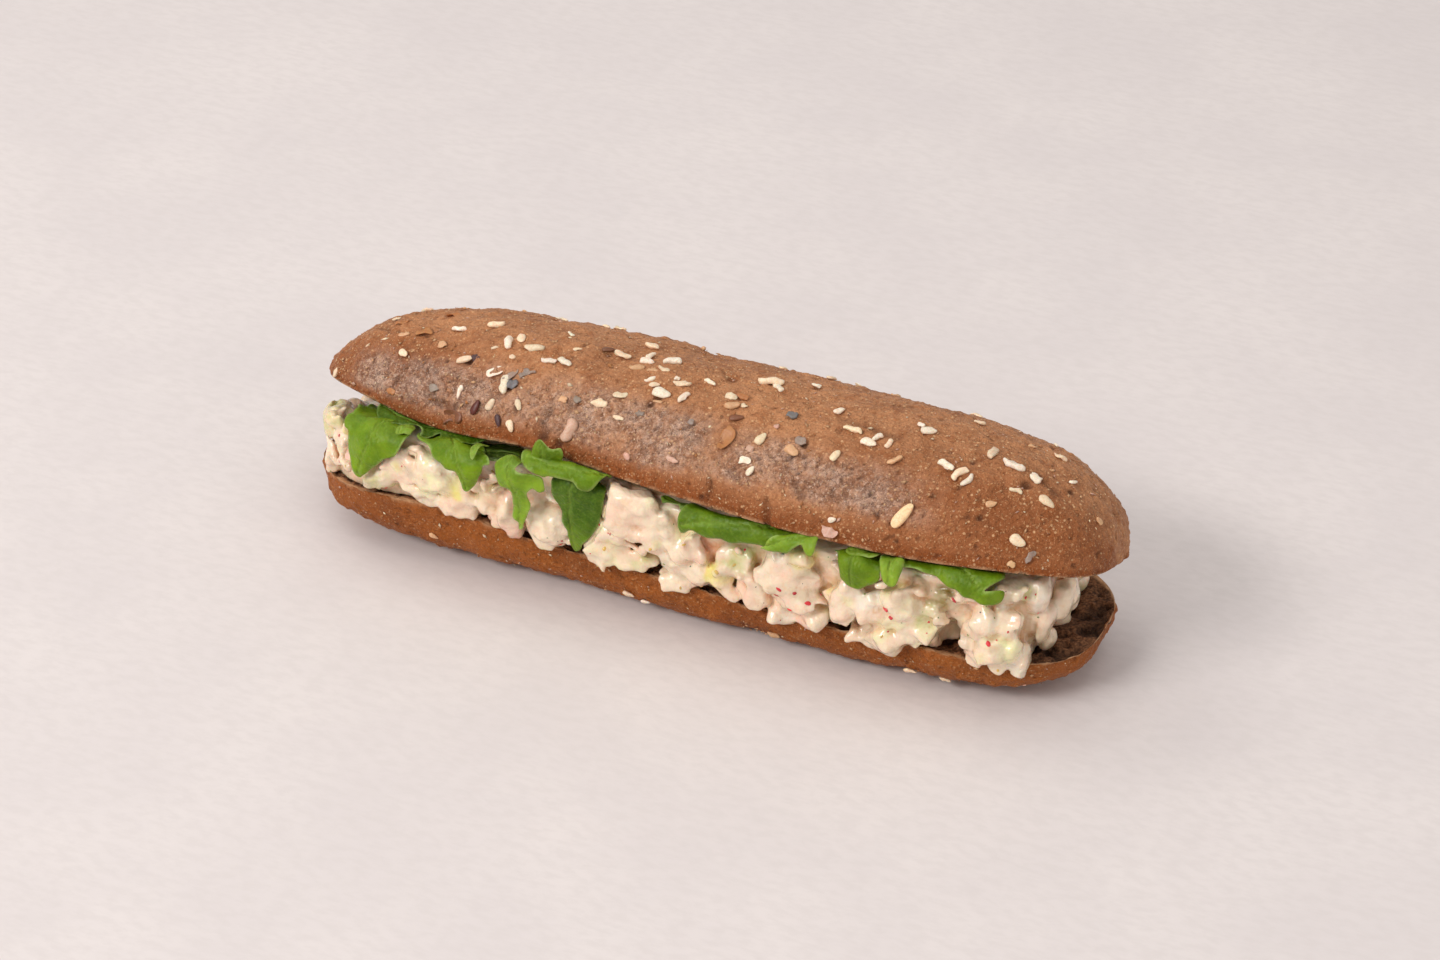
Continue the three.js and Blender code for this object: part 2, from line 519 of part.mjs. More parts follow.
// Leaves: name, side, layer, spine from stalk to tip as [x, way down as a part of the gap],
// half widths along the spine (mm) to its two sides, and how far the leaf bellies out (mm)
const LEAVES = [
  ['leaf_a', -1, 1, [[-77, -0.35], [-77, 0.15], [-79, 0.5], [-82.5, 0.87]],
    [3, 6, 9, 11, 10, 7, 0.7], [3, 7, 9.4, 9, 7.6, 5, 0.7], 1.6],
  ['leaf_b', -1, 0, [[-78, -0.05], [-64, 0.02], [-50, 0.03], [-38, 0.04]],
    [1.6, 3, 3.2, 4.6, 2.8, 3.2, 0.8], [1.6, 2.6, 3, 3.4, 3, 2.6, 0.8], 0.3],
  ['leaf_c', -1, 1, [[-56, -0.35], [-53.5, 0.05], [-52, 0.34], [-50.8, 0.64]],
    [2.6, 5, 7.2, 3.8, 3.4, 3, 0.6], [2.6, 4, 5.4, 7.8, 3.6, 2.6, 0.6], 1.2],
  ['leaf_d', -1, 1, [[-35, -0.1], [-36.5, 0.2], [-38.6, 0.5], [-38, 0.8]],
    [1.4, 4, 6.6, 3, 3, 2.6, 0.5], [1.4, 2.4, 3.4, 2.8, 3.2, 3, 0.5], 1.3],
  ['leaf_e', -1, 0, [[-21.5, -0.05], [-21, 0.25], [-22, 0.55], [-24.8, 0.88]],
    [3.4, 5, 6, 6, 5.2, 3.8, 0.6], [3.4, 5, 6, 6.2, 5, 3.2, 0.6], 1.2],
  ['leaf_f', -1, 2, [[-33, 0.14], [-26, 0.1], [-20, 0.14], [-13.6, 0.2]],
    [1, 2.6, 2.4, 3.4, 3.6, 2.8, 0.8], [1, 2.2, 5.4, 2, 2.2, 1.6, 0.8], 1.4],
  ['leaf_g', -1, 0, [[1, -0.08], [3, -0.02], [5, 0.04], [7.4, 0.1]],
    [1.6, 2.4, 2.8, 3, 2.6, 2, 0.8], [1.4, 2, 2.4, 2.4, 2.2, 1.6, 0.8], 0.3],
  ['leaf_h', -1, 1, [[7, 0.2], [15, 0.12], [25, 0.08], [36, 0]],
    [2.6, 4, 5.4, 5.2, 4.4, 3, 0.8], [2.6, 4.8, 4.6, 4, 3.4, 2.4, 0.8], 0.8],
  ['leaf_i', -1, 2, [[42, -0.05], [39, 0.12], [34, 0.22], [28.6, 0.3]],
    [2.4, 4.2, 4, 3, 2, 1.4, 0.5], [2.4, 4, 3.8, 3, 2, 1.4, 0.5], 0.8],
  ['leaf_j', -1, 0, [[49.6, -0.35], [50, -0.05], [50.4, 0.2], [50.8, 0.42]],
    [3.4, 4.6, 5.4, 5.2, 4.6, 3.4, 1], [3.4, 4.4, 4.8, 5, 4.6, 3.4, 1], 1],
  ['leaf_k', -1, 1, [[55, -0.02], [64.5, 0.06], [74.5, 0.2], [84.4, 0.36]],
    [2.6, 6, 4, 4, 3.8, 3, 1], [2.6, 3.4, 4.4, 4.6, 5.6, 4.8, 1], 0.8],
  ['leaf_l', -1, 2, [[60.4, 0.04], [60.4, 0.16], [60.4, 0.26], [60.6, 0.4]],
    [1.8, 2.2, 2.2, 1.8, 1.4, 1, 0.5], [1.8, 2.2, 2.2, 1.8, 1.4, 1, 0.5], 1.2],
  ['leaf_m', 1, 1, [[-56, -0.5], [-57, 0.1], [-58, 0.45], [-57, 0.8]],
    [3, 5, 6.4, 6, 4.6, 3, 0.6], [3, 4.6, 6, 6.4, 4.2, 2.6, 0.6], 0.4],
  ['leaf_n', 1, 1, [[6, -0.5], [4, 0], [1, 0.4], [-3, 0.7]],
    [3, 4.6, 5.6, 5.8, 4.6, 2.8, 0.6], [3, 4.8, 5.6, 5, 4, 2.4, 0.6], 0.4],
  ['leaf_o', 1, 1, [[52, -0.5], [54, 0], [57, 0.35], [61, 0.6]],
    [3, 4.2, 5.6, 4.8, 4, 2.6, 0.6], [3, 4.4, 5, 5.2, 4.2, 2.4, 0.6], 0.4],
];

// Value read off a short list, by smooth steps between its entries
function readOff(list, part) {
  const at = clamp(part, 0, 1) * (list.length - 1);
  const low = Math.min(Math.floor(at), list.length - 2);
  return mix(list[low], list[low + 1], THREE.MathUtils.smoothstep(at - low, 0, 1));
}

// Height of the gap between the halves at a leaf's side
function gapHeight(x, side) {
  return lidCutHeight(x, heapEdge(x, side, 1)) - baseCutHeight(x, heapEdge(x, side, 0));
}

// A leaf as a solid between two copies of its sheet, moved by the amounts inner and outer
function leafSolid(leaf, inner, outer, margin, steps, acrossSteps) {
  const [, side, layer, spine, left, right, belly] = leaf;
  const path = new THREE.CatmullRomCurve3(spine.map(([x, down]) => {
    const s = down * gapHeight(x, side);
    return new THREE.Vector3(x, s, 0);
  }));
  const at = (part, across) => {
    const middle = path.getPoint(part);
    const way = path.getTangent(part);
    const width = (across < 0 ? readOff(left, part) : readOff(right, part)) + margin;
    const x = middle.x + way.y * across * width;
    const s = middle.y - way.x * across * width + (part > 0.999 ? margin : 0) - (part < 0.001 ? margin : 0);
    const flutter = LEAF_FLUTTER * Math.sin(x * 0.55 + s * 0.3);
    const rise = belly * Math.sin(Math.PI * part) * (1 - across * across * 0.5) + flutter;
    return sheetPoint(x, s, side, layer, rise);
  };
  const moved = (part, across, amount) => {
    const point = at(part, across);
    const step = 0.01;
    const alongWay = at(Math.min(1, part + step), across).sub(at(Math.max(0, part - step), across));
    const acrossWay = at(part, Math.min(1, across + step)).sub(at(part, Math.max(-1, across - step)));
    const normal = new THREE.Vector3().crossVectors(alongWay, acrossWay).normalize();
    const facing = Math.sign(normal.y * side + normal.z * 0.5) || 1;
    return point.addScaledVector(normal, facing * amount);
  };
  const ring = (acrossSteps + 1) * 2;
  const rows = [];
  for (let i = 0; i <= steps; i += 1) {
    const row = [];
    for (const amount of [outer, inner]) {
      for (let j = 0; j <= acrossSteps; j += 1) {
        row.push(moved(i / steps, (2 * j) / acrossSteps - 1, amount));
      }
    }
    rows.push(row);
  }
  const positions = rows.flat().flatMap((point) => [point.x, point.y, point.z]);
  const index = [];
  const quad = (a, b, c, d) => index.push(a, b, c, a, c, d);
  const id = (i, j, under) => i * ring + j + (under ? acrossSteps + 1 : 0);
  for (let i = 0; i < steps; i += 1) {
    for (let j = 0; j < acrossSteps; j += 1) {
      quad(id(i, j, false), id(i + 1, j, false), id(i + 1, j + 1, false), id(i, j + 1, false));
      index.push(id(i, j, true), id(i + 1, j + 1, true), id(i + 1, j, true));
      index.push(id(i, j, true), id(i, j + 1, true), id(i + 1, j + 1, true));
    }
    quad(id(i, 0, false), id(i, 0, true), id(i + 1, 0, true), id(i + 1, 0, false));
    const end = acrossSteps;
    quad(id(i, end, false), id(i + 1, end, false), id(i + 1, end, true), id(i, end, true));
  }
  for (let j = 0; j < acrossSteps; j += 1) {
    quad(id(0, j, false), id(0, j + 1, false), id(0, j + 1, true), id(0, j, true));
    const i = steps;
    quad(id(i, j, false), id(i, j, true), id(i, j + 1, true), id(i, j + 1, false));
  }
  const geometry = new THREE.BufferGeometry();
  geometry.setAttribute('position', new THREE.Float32BufferAttribute(positions, 3));
  geometry.setIndex(index);
  return facingOut(geometry);
}

function salad() {
  let solid = heapCore();
  for (const lumpOfSalad of heapPieces()) solid = solid.add(lumpOfSalad);
  for (const keepOut of keepOuts()) solid = solid.subtract(keepOut);
  for (const leaf of LEAVES) {
    const under = -LEAF_THICKNESS / 2 - LEAF_ROOM_UNDER;
    const room = leafSolid(leaf, under, LEAF_ROOM_OVER, GAP, ROOM_STEPS, ROOM_ACROSS);
    solid = solid.subtract(solidOf(room));
  }
  return geometryOf(solid);
}

function material(color, roughness) {
  return new THREE.MeshStandardMaterial({ color, roughness, metalness: 0 });
}

function named(name, geometry, look) {
  geometry.computeVertexNormals();
  const mesh = new THREE.Mesh(geometry, look);
  mesh.name = name;
  return mesh;
}

const sandwich = new THREE.Group();
sandwich.name = 'chicken_salad_roll';
sandwich.add(named('bread_bottom', breadBottom(), material(0x7f4f30, 0.75)));
sandwich.add(named('bread_top', breadTop(), material(0x8a5a3c, 0.7)));
sandwich.add(named('salad', salad(), material(0xe0c6a2, 0.45)));
for (const leaf of LEAVES) {
  const solid = leafSolid(leaf, -LEAF_THICKNESS / 2, LEAF_THICKNESS / 2, 0, LEAF_STEPS, LEAF_ACROSS);
  sandwich.add(named(leaf[0], solid, material(0x5b8a2f, 0.5)));
}

export default sandwich;
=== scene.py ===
import math

import bpy
import numpy as np
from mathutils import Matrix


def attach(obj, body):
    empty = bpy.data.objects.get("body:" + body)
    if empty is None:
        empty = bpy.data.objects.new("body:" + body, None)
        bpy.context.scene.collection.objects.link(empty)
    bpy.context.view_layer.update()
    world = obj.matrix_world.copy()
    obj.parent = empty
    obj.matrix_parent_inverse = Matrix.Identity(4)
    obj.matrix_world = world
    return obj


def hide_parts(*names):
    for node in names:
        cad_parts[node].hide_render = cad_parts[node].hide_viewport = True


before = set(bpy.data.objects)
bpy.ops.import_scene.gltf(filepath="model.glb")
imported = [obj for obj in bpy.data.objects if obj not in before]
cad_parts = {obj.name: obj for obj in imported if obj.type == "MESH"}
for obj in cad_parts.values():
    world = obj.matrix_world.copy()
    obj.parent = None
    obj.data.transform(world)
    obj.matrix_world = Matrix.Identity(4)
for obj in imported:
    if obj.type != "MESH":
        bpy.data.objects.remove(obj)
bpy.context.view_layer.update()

import openvdb
from mathutils import Vector
from mathutils.geometry import delaunay_2d_cdt

MM = 0.001

# Lower half of the roll
BASE_HALF_LENGTH = 102.5
BASE_HALF_WIDTH = 29.5
BASE_BOW = 2.5
BASE_RIM_HEIGHT = 14
BASE_DISH = 1.8
BASE_TIPS = (3.4, 3.2)
BASE_SECTION = 3.6
BASE_FRONT_SWELL = (6.5, 1, -2, -1.5, -2.5, -1.5, 2.5)
BASE_RIM_SWELL = (3.5, 4.5, 0, 0, -2.5, -0.5, 0)
# Its section would reach this far below the floor, where it is cut flat
BASE_CUT = 0.5

# Upper half of the roll
LID_HALF_LENGTH = 104.7
LID_HALF_WIDTH = 30.5
LID_RISE = 26
LID_HOLLOW = 1
LID_TIPS = (2.3, 3.3)
LID_RISE_TIPS = (2, 3.2)
LID_SECTION = 2.1
LID_TOP_SWELL = (5.6, 2.4, -0.5, -1, -0.9, 0.4, 2.4)
LID_FRONT_SWELL = (0, -0.7, -0.6, 0, 0.6, 0.6, 0)
LID_RIM_SWELL = (1.2, -1.3, 1.5, -0.5, -1.5, -1.4, 0)
LID_TILT = math.radians(-18)
LID_PITCH = math.radians(-1)
LID_YAW = math.radians(-1.3)
LID_PLACE = np.array((0.4, 0.3, 32.6))

# Where along the roll the swells sit, as parts of its half length, and how wide each is
SWELL_STATIONS = (-0.9, -0.6, -0.3, 0, 0.3, 0.6, 0.9)
SWELL_SPREAD = 0.2
LUMP_HEIGHT = 0.35

# Heap of salad
HEAP_LEFT = -98.5
HEAP_RIGHT = 92
HEAP_MIDDLE = (HEAP_LEFT + HEAP_RIGHT) / 2
HEAP_HALF_LENGTH = (HEAP_RIGHT - HEAP_LEFT) / 2
HEAP_TIPS = (4, 5)
HEAP_INSET_FRONT = 1
HEAP_INSET_BACK = 4.5
HEAP_TOP_FRONT = 28.5
HEAP_TOP_BACK = 24.5
HEAP_BELLY_FRONT = 1.5
HEAP_BELLY_BACK = 2.5
# Its bare core lies this far inside its outline, further in at the top, and low at the left end
CORE_INSET = 2.4
TOP_RECESS = 10
LEFT_CEILING = 0.46

# Sheet that the leaves lie on
LEAF_BEND = 2
LEAF_LAYER = 1.3
LEAF_HEADROOM = 0.8
LEAF_THICKNESS = 0.3
# How far a blade folds up beside its midrib, for each mm, and the groove of the midrib
LEAF_FOLD = 0.3
LEAF_GROOVE = 0.4
LEAF_GROOVE_WIDTH = 0.6
# Waves of a blade: height, size (mm) and seed of each, and the ruffles at its rim: width, size and seed
LEAF_WAVES = ((0.7, 6, 1), (0.16, 1.7, 2))
LEAF_RUFFLES = (2.2, 2.8, 3)

# Fineness of the meshes (mm), and how many columns of points cross each cut face
CRUST_STEP = 0.5
BASE_STEP = 0.6
SALAD_VOXEL = 0.5
LEAF_STEP = 0.55
LID_FACE_COLUMNS = 40
BASE_FACE_COLUMNS = 110

# Camera: the photograph's point of view
CAMERA_AZIMUTH = math.radians(24.9)
CAMERA_ELEVATION = math.radians(34)
CAMERA_DISTANCE = 0.8853
CAMERA_TARGET = Vector((0.00307, -0.00028, 0.028))
CAMERA_LENS = 91.4


def srgb(red, green, blue):
    """Linear colour of a colour given from 0 to 255."""
    channels = np.array((red, green, blue)) / 255
    return np.where(channels <= 0.04045, channels / 12.92, ((channels + 0.055) / 1.055) ** 2.4)


# Smooth noise in space, from lattices of random values

LATTICE_SIZE = 32
LATTICE_SHIFT = 7.31
LATTICES = [np.random.RandomState(seed).uniform(-1, 1, LATTICE_SIZE ** 3) for seed in range(8)]
SKEW = np.array(((0.64, 0.48, -0.6), (-0.36, 0.87, 0.34), (0.68, 0.0, 0.73)))


def noise(points, wavelength, seed):
    """Value noise from -1 to 1 at points given in mm."""
    lattice = LATTICES[seed % len(LATTICES)]
    at = points @ SKEW / wavelength + seed * LATTICE_SHIFT
    low = np.floor(at).astype(np.int32)
    part = at - low
    part = part * part * (3 - 2 * part)
    total = np.zeros(points.shape[:-1])
    for corner in range(8):
        step = (corner & 1, (corner >> 1) & 1, corner >> 2)
        weight = 1
        index = 0
        for axis in range(3):
            weight = weight * (part[..., axis] if step[axis] else 1 - part[..., axis])
            index = index * LATTICE_SIZE + ((low[..., axis] + step[axis]) & (LATTICE_SIZE - 1))
        total += weight * lattice[index]
    return total


def noise_sum(points, layers):
    """Noise of several sizes; layers: height, wavelength (mm) and seed of each."""
    return sum(height * noise(points, wavelength, seed) for height, wavelength, seed in layers)


def ridged(points, wavelength, seed):
    """Noise with sharp valleys, from 0 in a valley to 1."""
    return np.minimum(1, 2.2 * np.abs(noise(points, wavelength, seed)))


def smoothstep(low, high, value):
    part = np.clip((value - low) / (high - low), 0, 1)
    return part * part * (3 - 2 * part)


# Surfaces of the roll, as in the solids

def taper(u, powers):
    """How much of its width the roll keeps at u, from 1 in its middle to 0 at its tips."""
    power = np.where(u > 0, powers[1], powers[0])
    return np.maximum(0, 1 - np.abs(u) ** power) ** (1 / power)


def tips(u):
    """1 along the roll, and 0 at its two tips."""
    return 1 - u ** 24


def swell(u, heights):
    """Height of the swells at u (mm)."""
    bumps = (h * np.exp(-(((u - s) / SWELL_SPREAD) ** 2)) for h, s in zip(heights, SWELL_STATIONS))
    return sum(bumps) * (1 - u ** 8)


def lump(x, around):
    """Slow unevenness of the crust (mm)."""
    slow = np.sin(x * 0.13 + 2.2 * np.sin(around * 2))
    quick = np.sin(x * 0.31 - around * 3.1)
    return LUMP_HEIGHT * (0.6 * slow + 0.4 * quick) * np.sin(around)


def section(around, power):
    """Round of the section at an angle: across from -1 to 1, and out from the cut face, from 0 to 1."""
    across = -np.cos(around)
    out = np.sin(around)
    scale = (np.abs(across) ** power + np.abs(out) ** power) ** (-1 / power)
    return across * scale, out * scale


def stacked(*parts):
    return np.stack(np.broadcast_arrays(*parts), -1)


def base_middle(u):
    return BASE_BOW * (1 - u * u)


def base_rim(u):
    return BASE_RIM_HEIGHT + swell(u, BASE_RIM_SWELL)


def base_depth(u):
    return (base_rim(u) + BASE_CUT) * taper(u, BASE_TIPS)


def base_reach(u, across):
    width = BASE_HALF_WIDTH + np.where(across < 0, swell(u, BASE_FRONT_SWELL), 0)
    return width * taper(u, BASE_TIPS)


def base_cut_height(x, y):
    u = np.clip(x / BASE_HALF_LENGTH, -1, 1)
    offset = y - base_middle(u)
    across = np.clip(offset / np.maximum(base_reach(u, offset), 1e-6), -1, 1)
    return base_rim(u) - BASE_DISH * (1 - across ** 6) * (1 - u ** 12)


def base_point(u, around):
    """Point of the lower crust, at an angle from its front rim, under it, to its back rim."""
    across, out = section(around, BASE_SECTION)
    bulge = lump(u * BASE_HALF_LENGTH, around) * tips(u)
    y = base_middle(u) + across * (base_reach(u, across) + bulge)
    return stacked(u * BASE_HALF_LENGTH, y, np.maximum(0, base_rim(u) - base_depth(u) * out))


def base_face_point(u, across):
    x = u * BASE_HALF_LENGTH
    y = base_middle(u) + across * base_reach(u, across)
    return stacked(x, y, base_cut_height(x, y))


def turn_about(axis, angle):
    """Turn about the X, Y or Z axis."""
    after, last = (axis + 1) % 3, (axis + 2) % 3
    turn = np.eye(3)
    turn[after, after] = turn[last, last] = math.cos(angle)
    turn[last, after] = math.sin(angle)
    turn[after, last] = -math.sin(angle)
    return turn


LID_TURN = turn_about(2, LID_YAW) @ turn_about(1, LID_PITCH) @ turn_about(0, LID_TILT)


def into_place(points):
    return points @ LID_TURN.T + LID_PLACE


def lid_reach(u, across):
    width = LID_HALF_WIDTH + np.where(across < 0, swell(u, LID_FRONT_SWELL), 0)
    return width * taper(u, LID_TIPS)


def lid_rim(u, across):
    return swell(u, LID_RIM_SWELL) * np.maximum(0, -across)


def lid_face(u, across):
    return lid_rim(u, across) + LID_HOLLOW * (1 - across ** 4) * (1 - u ** 8)


def lid_point(u, around):
    """Point of the upper crust, at an angle from its front rim, over it, to its back rim."""
    across, out = section(around, LID_SECTION)
    rise = (LID_RISE + swell(u, LID_TOP_SWELL)) * taper(u, LID_RISE_TIPS)
    bulge = lump(u * LID_HALF_LENGTH, around) * tips(u)
    y = across * (lid_reach(u, across) + bulge)
    return into_place(stacked(u * LID_HALF_LENGTH, y, lid_rim(u, across) + (rise + bulge) * out))


def lid_face_point(u, across):
    y = across * lid_reach(u, across)
    return into_place(stacked(u * LID_HALF_LENGTH, y, lid_face(u, across)))


def lid_cut_height(x, y):
    """Height of the upper half's cut face over points of the plan."""
    dx, dy = x - LID_PLACE[0], y - LID_PLACE[1]
    normal = LID_TURN[:, 2]
    flat = LID_PLACE[2] - (normal[0] * dx + normal[1] * dy) / normal[2]
    start = stacked(dx, dy, flat - LID_PLACE[2])
    u = np.clip(start @ LID_TURN[:, 0] / LID_HALF_LENGTH, -1, 1)
    offset = start @ LID_TURN[:, 1]
    across = np.clip(offset / np.maximum(lid_reach(u, offset), 1e-6), -1, 1)
    return flat + lid_face(u, across) / normal[2]


def heap_taper(x):
    return taper(np.clip((x - HEAP_MIDDLE) / HEAP_HALF_LENGTH, -1, 1), HEAP_TIPS)


def heap_edge(x, side, up):
    """Outline of the heap in y, on the front side -1 or the back side 1, at a height between the halves."""
    u = x / BASE_HALF_LENGTH
    if side < 0:
        low = BASE_HALF_WIDTH + swell(u, BASE_FRONT_SWELL) - HEAP_INSET_FRONT
        high, belly = HEAP_TOP_FRONT, HEAP_BELLY_FRONT
    else:
        low = BASE_HALF_WIDTH - HEAP_INSET_BACK
        high, belly = HEAP_TOP_BACK, HEAP_BELLY_BACK
    width = low + (high - low) * up + belly * 4 * up * (1 - up)
    return base_middle(u) * (1 - up) + side * width * heap_taper(x)


def heap_height(x, y, up):
    low = base_cut_height(x, y)
    return low + (lid_cut_height(x, y) - low) * up


# Meshes

def mesh_object(name, points, faces, materials):
    """A smooth mesh object from points in mm."""
    mesh = bpy.data.meshes.new(name)
    mesh.from_pydata((np.asarray(points) * MM).tolist(), [], faces)
    mesh.polygons.foreach_set("use_smooth", [True] * len(mesh.polygons))
    for material in materials:
        mesh.materials.append(material)
    mesh.update()
    thing = bpy.data.objects.new(name, mesh)
    bpy.context.scene.collection.objects.link(thing)
    return thing


def point_values(thing, name, values):
    """A number or a colour for each point, which the materials read by name."""
    values = np.asarray(values, dtype=np.float32)
    if values.ndim == 1:
        thing.data.attributes.new(name, "FLOAT", "POINT").data.foreach_set("value", values)
    else:
        colours = np.concatenate((values, np.ones((len(values), 1), np.float32)), 1)
        thing.data.attributes.new(name, "FLOAT_COLOR", "POINT").data.foreach_set("color", colours.ravel())


def normals_of(grid):
    """Normals of a grid of points, by its two directions."""
    normal = np.cross(np.gradient(grid, axis=0), np.gradient(grid, axis=1))
    return normal / np.maximum(np.linalg.norm(normal, axis=-1, keepdims=True), 1e-9)


def ring_faces(rings, sides):
    """Four-sided faces between closed rings of points."""
    index = np.arange(rings * sides).reshape(rings, sides)
    here, there = index[:-1], index[1:]
    return np.stack((here, np.roll(here, -1, 1), np.roll(there, -1, 1), there), -1).reshape(-1, 4)


def ball(rings, sides, wide=1, tall=1, blunt=1, pointed=0):
    """Rings of points round the X axis: a ball of radius 1, or the form of a seed."""
    polar = np.linspace(0, math.pi, rings)[:, None]
    turn = np.linspace(0, 2 * math.pi, sides, endpoint=False)[None]
    radius = np.sin(polar) ** blunt * (1 - pointed * np.cos(polar))
    return stacked(np.cos(polar), radius * np.cos(turn) * wide, radius * np.sin(turn) * tall)


def joined(name, shapes, faces, tints, material):
    """One object of many small shapes with the same faces, each in its own tint."""
    count = len(shapes[0])
    all_faces = np.concatenate([faces + i * count for i in range(len(shapes))])
    thing = mesh_object(name, np.concatenate(shapes), all_faces.tolist(), [material])
    point_values(thing, "tint", np.repeat(tints, count, 0))
    return thing


def evenly(outline, values, step):
    """The values of an outline's points, taken at even steps along it."""
    length = np.concatenate(((0,), np.cumsum(np.linalg.norm(np.diff(outline, axis=0), axis=1))))
    count = int(length[-1] / step)
    return np.interp(np.linspace(0, length[-1], count + 1), length, values)


def even_stations(half_length, half_width, powers, step):
    """Stations along the roll, evenly spaced along its outline in plan."""
    u = -np.cos(np.linspace(0, math.pi, 4001))
    return evenly(np.stack((u * half_length, taper(u, powers) * half_width), -1), u, step)


def even_angles(half_width, height, power, step):
    """Angles round the section, evenly spaced along the crust."""
    around = np.linspace(0, math.pi, 2001)
    across, out = section(around, power)
    return evenly(np.stack((across * half_width, out * height), -1), around, step)


def roll_half(name, crust, face, materials):
    """One half of the roll, from its grid of crust points and its grid of cut face points."""
    ring = np.concatenate((crust, face[:, 1:-1]), 1)[1:-1]
    rows, columns = ring.shape[:2]
    faces = ring_faces(rows, columns).tolist()
    column_of = list(np.tile(np.arange(columns), rows - 1))
    left_tip, right_tip = rows * columns, rows * columns + 1
    last_row = (rows - 1) * columns
    for here in range(columns):
        after = (here + 1) % columns
        faces.append((left_tip, after, here))
        faces.append((right_tip, last_row + here, last_row + after))
        column_of += [here, here]
    points = np.concatenate((ring.reshape(-1, 3), crust[:1, 0], crust[-1:, 0]))
    thing = mesh_object(name, points, faces, materials)
    slots = (np.array(column_of) >= crust.shape[1] - 1).astype(np.int32)
    thing.data.polygons.foreach_set("material_index", slots)
    return thing, (rows, columns)


def roll_values(thing, shape, on_face, **on_crust):
    """Values that the materials read by name, given on the crust's grid, and some on the cut face's too."""
    for name, grid in on_crust.items():
        columns = grid.shape[1]
        values = np.zeros(shape)
        values[:, :columns] = grid[1:-1]
        values[:, columns:] = on_face.get(name, 0)
        point_values(thing, name, np.concatenate((values.ravel(), (0, 0))))


# Materials

class Look:
    """A node material in the making."""

    def __init__(self, name):
        self.material = bpy.data.materials.new(name)
        self.material.use_nodes = True
        self.tree = self.material.node_tree
        self.surface = self.tree.nodes["Principled BSDF"]
        self.place = self.node("ShaderNodeTexCoord").outputs["Object"]

    def node(self, kind, **settings):
        node = self.tree.nodes.new(kind)
        for key, value in settings.items():
            setattr(node, key, value)
        return node

    def feed(self, source, target):
        if hasattr(source, "links"):
            self.tree.links.new(source, target)
        else:
            target.default_value = source

    def constants(self, node, **values):
        for name, value in values.items():
            node.inputs[name.replace("_", " ")].default_value = value

    def stretched(self, stretch):
        mapping = self.node("ShaderNodeMapping")
        self.feed(self.place, mapping.inputs["Vector"])
        mapping.inputs["Scale"].default_value = stretch
        return mapping.outputs["Vector"]

    def noise(self, wavelength, detail=2.0, roughness=0.5, distortion=0.0, stretch=None):
        node = self.node("ShaderNodeTexNoise")
        self.feed(self.stretched(stretch) if stretch else self.place, node.inputs["Vector"])
        self.constants(node, Scale=1 / (wavelength * MM), Detail=detail, Roughness=roughness,
                       Distortion=distortion)
        return node.outputs["Fac"]

    def cells(self, wavelength, output="Distance"):
        node = self.node("ShaderNodeTexVoronoi")
        self.feed(self.place, node.inputs["Vector"])
        self.constants(node, Scale=1 / (wavelength * MM))
        return node.outputs[output]

    def values(self, name, output="Fac"):
        return self.node("ShaderNodeAttribute", attribute_name=name).outputs[output]

    def range(self, value, low, high, to_low=0.0, to_high=1.0):
        node = self.node("ShaderNodeMapRange", interpolation_type="SMOOTHSTEP")
        self.feed(value, node.inputs["Value"])
        self.constants(node, From_Min=low, From_Max=high, To_Min=to_low, To_Max=to_high)
        return node.outputs["Result"]

    def math(self, operation, first, second):
        node = self.node("ShaderNodeMath", operation=operation)
        self.feed(first, node.inputs[0])
        self.feed(second, node.inputs[1])
        return node.outputs[0]

    def times(self, first, second):
        return self.math("MULTIPLY", first, second)

    def mix(self, part, first, second, blend="MIX"):
        node = self.node("ShaderNodeMix", data_type="RGBA", blend_type=blend)
        self.feed(part, node.inputs[0])
        for value, target in ((first, node.inputs[6]), (second, node.inputs[7])):
            self.feed(value if hasattr(value, "links") else (*value, 1), target)
        return node.outputs[2]

    def bump(self, height, depth, under=None):
        """Relief of a depth in mm, on top of the relief under it."""
        node = self.node("ShaderNodeBump")
        self.constants(node, Strength=1, Distance=depth * MM)
        self.feed(height, node.inputs["Height"])
        if under is not None:
            self.feed(under, node.inputs["Normal"])
        return node.outputs["Normal"]

    def finish(self, colour, roughness, normal=None, **constants):
        self.feed(colour, self.surface.inputs["Base Color"])
        self.feed(roughness, self.surface.inputs["Roughness"])
        if normal is not None:
            self.feed(normal, self.surface.inputs["Normal"])
        self.constants(self.surface, **constants)
        return self.material


def darker(colour, part):
    return tuple(part * channel for channel in colour)


# Each crust: its colour in the middle, towards its rims and in dark patches, how mottled and how flecked
CRUSTS = {
    "crust_top": (srgb(199, 137, 93), srgb(143, 72, 22), srgb(126, 70, 34), 1.2, 0.65),
    "crust_bottom": (srgb(164, 87, 28), srgb(166, 93, 34), srgb(108, 56, 20), 0.9, 0.25),
}
# Colours of marks on the crusts: sheen and spark are painted reflections and glints, pit is painted shade
CRUST_MARKS = {
    "sheen": srgb(220, 180, 156), "grain": srgb(216, 154, 98), "spark": srgb(244, 206, 180),
    "bran": srgb(234, 188, 140), "torn": srgb(216, 172, 130), "pit": srgb(66, 36, 22),
}
# Colours of the crumb; the colours of its pores and holes are painted shade
CRUMB_COLOURS = {
    "dark": srgb(84, 54, 36), "light": srgb(160, 112, 78), "pore_shade": srgb(50, 29, 19),
    "rim": srgb(206, 160, 120), "hole_shade": srgb(34, 19, 13),
}
SEED_SHADE = srgb(222, 178, 142)
DRESSING = srgb(255, 238, 208)
DRESSING_SHADE = srgb(248, 214, 170)
LEAF_SHADE = (0.66, 0.74, 0.6)
LEAF_GRAIN = srgb(146, 174, 56)
LEAF_VEIN = srgb(158, 186, 80)
LEAF_RIM = srgb(182, 204, 120)
FLOOR_COLOURS = (srgb(220, 211, 209), srgb(226, 217, 214), srgb(214, 205, 202))


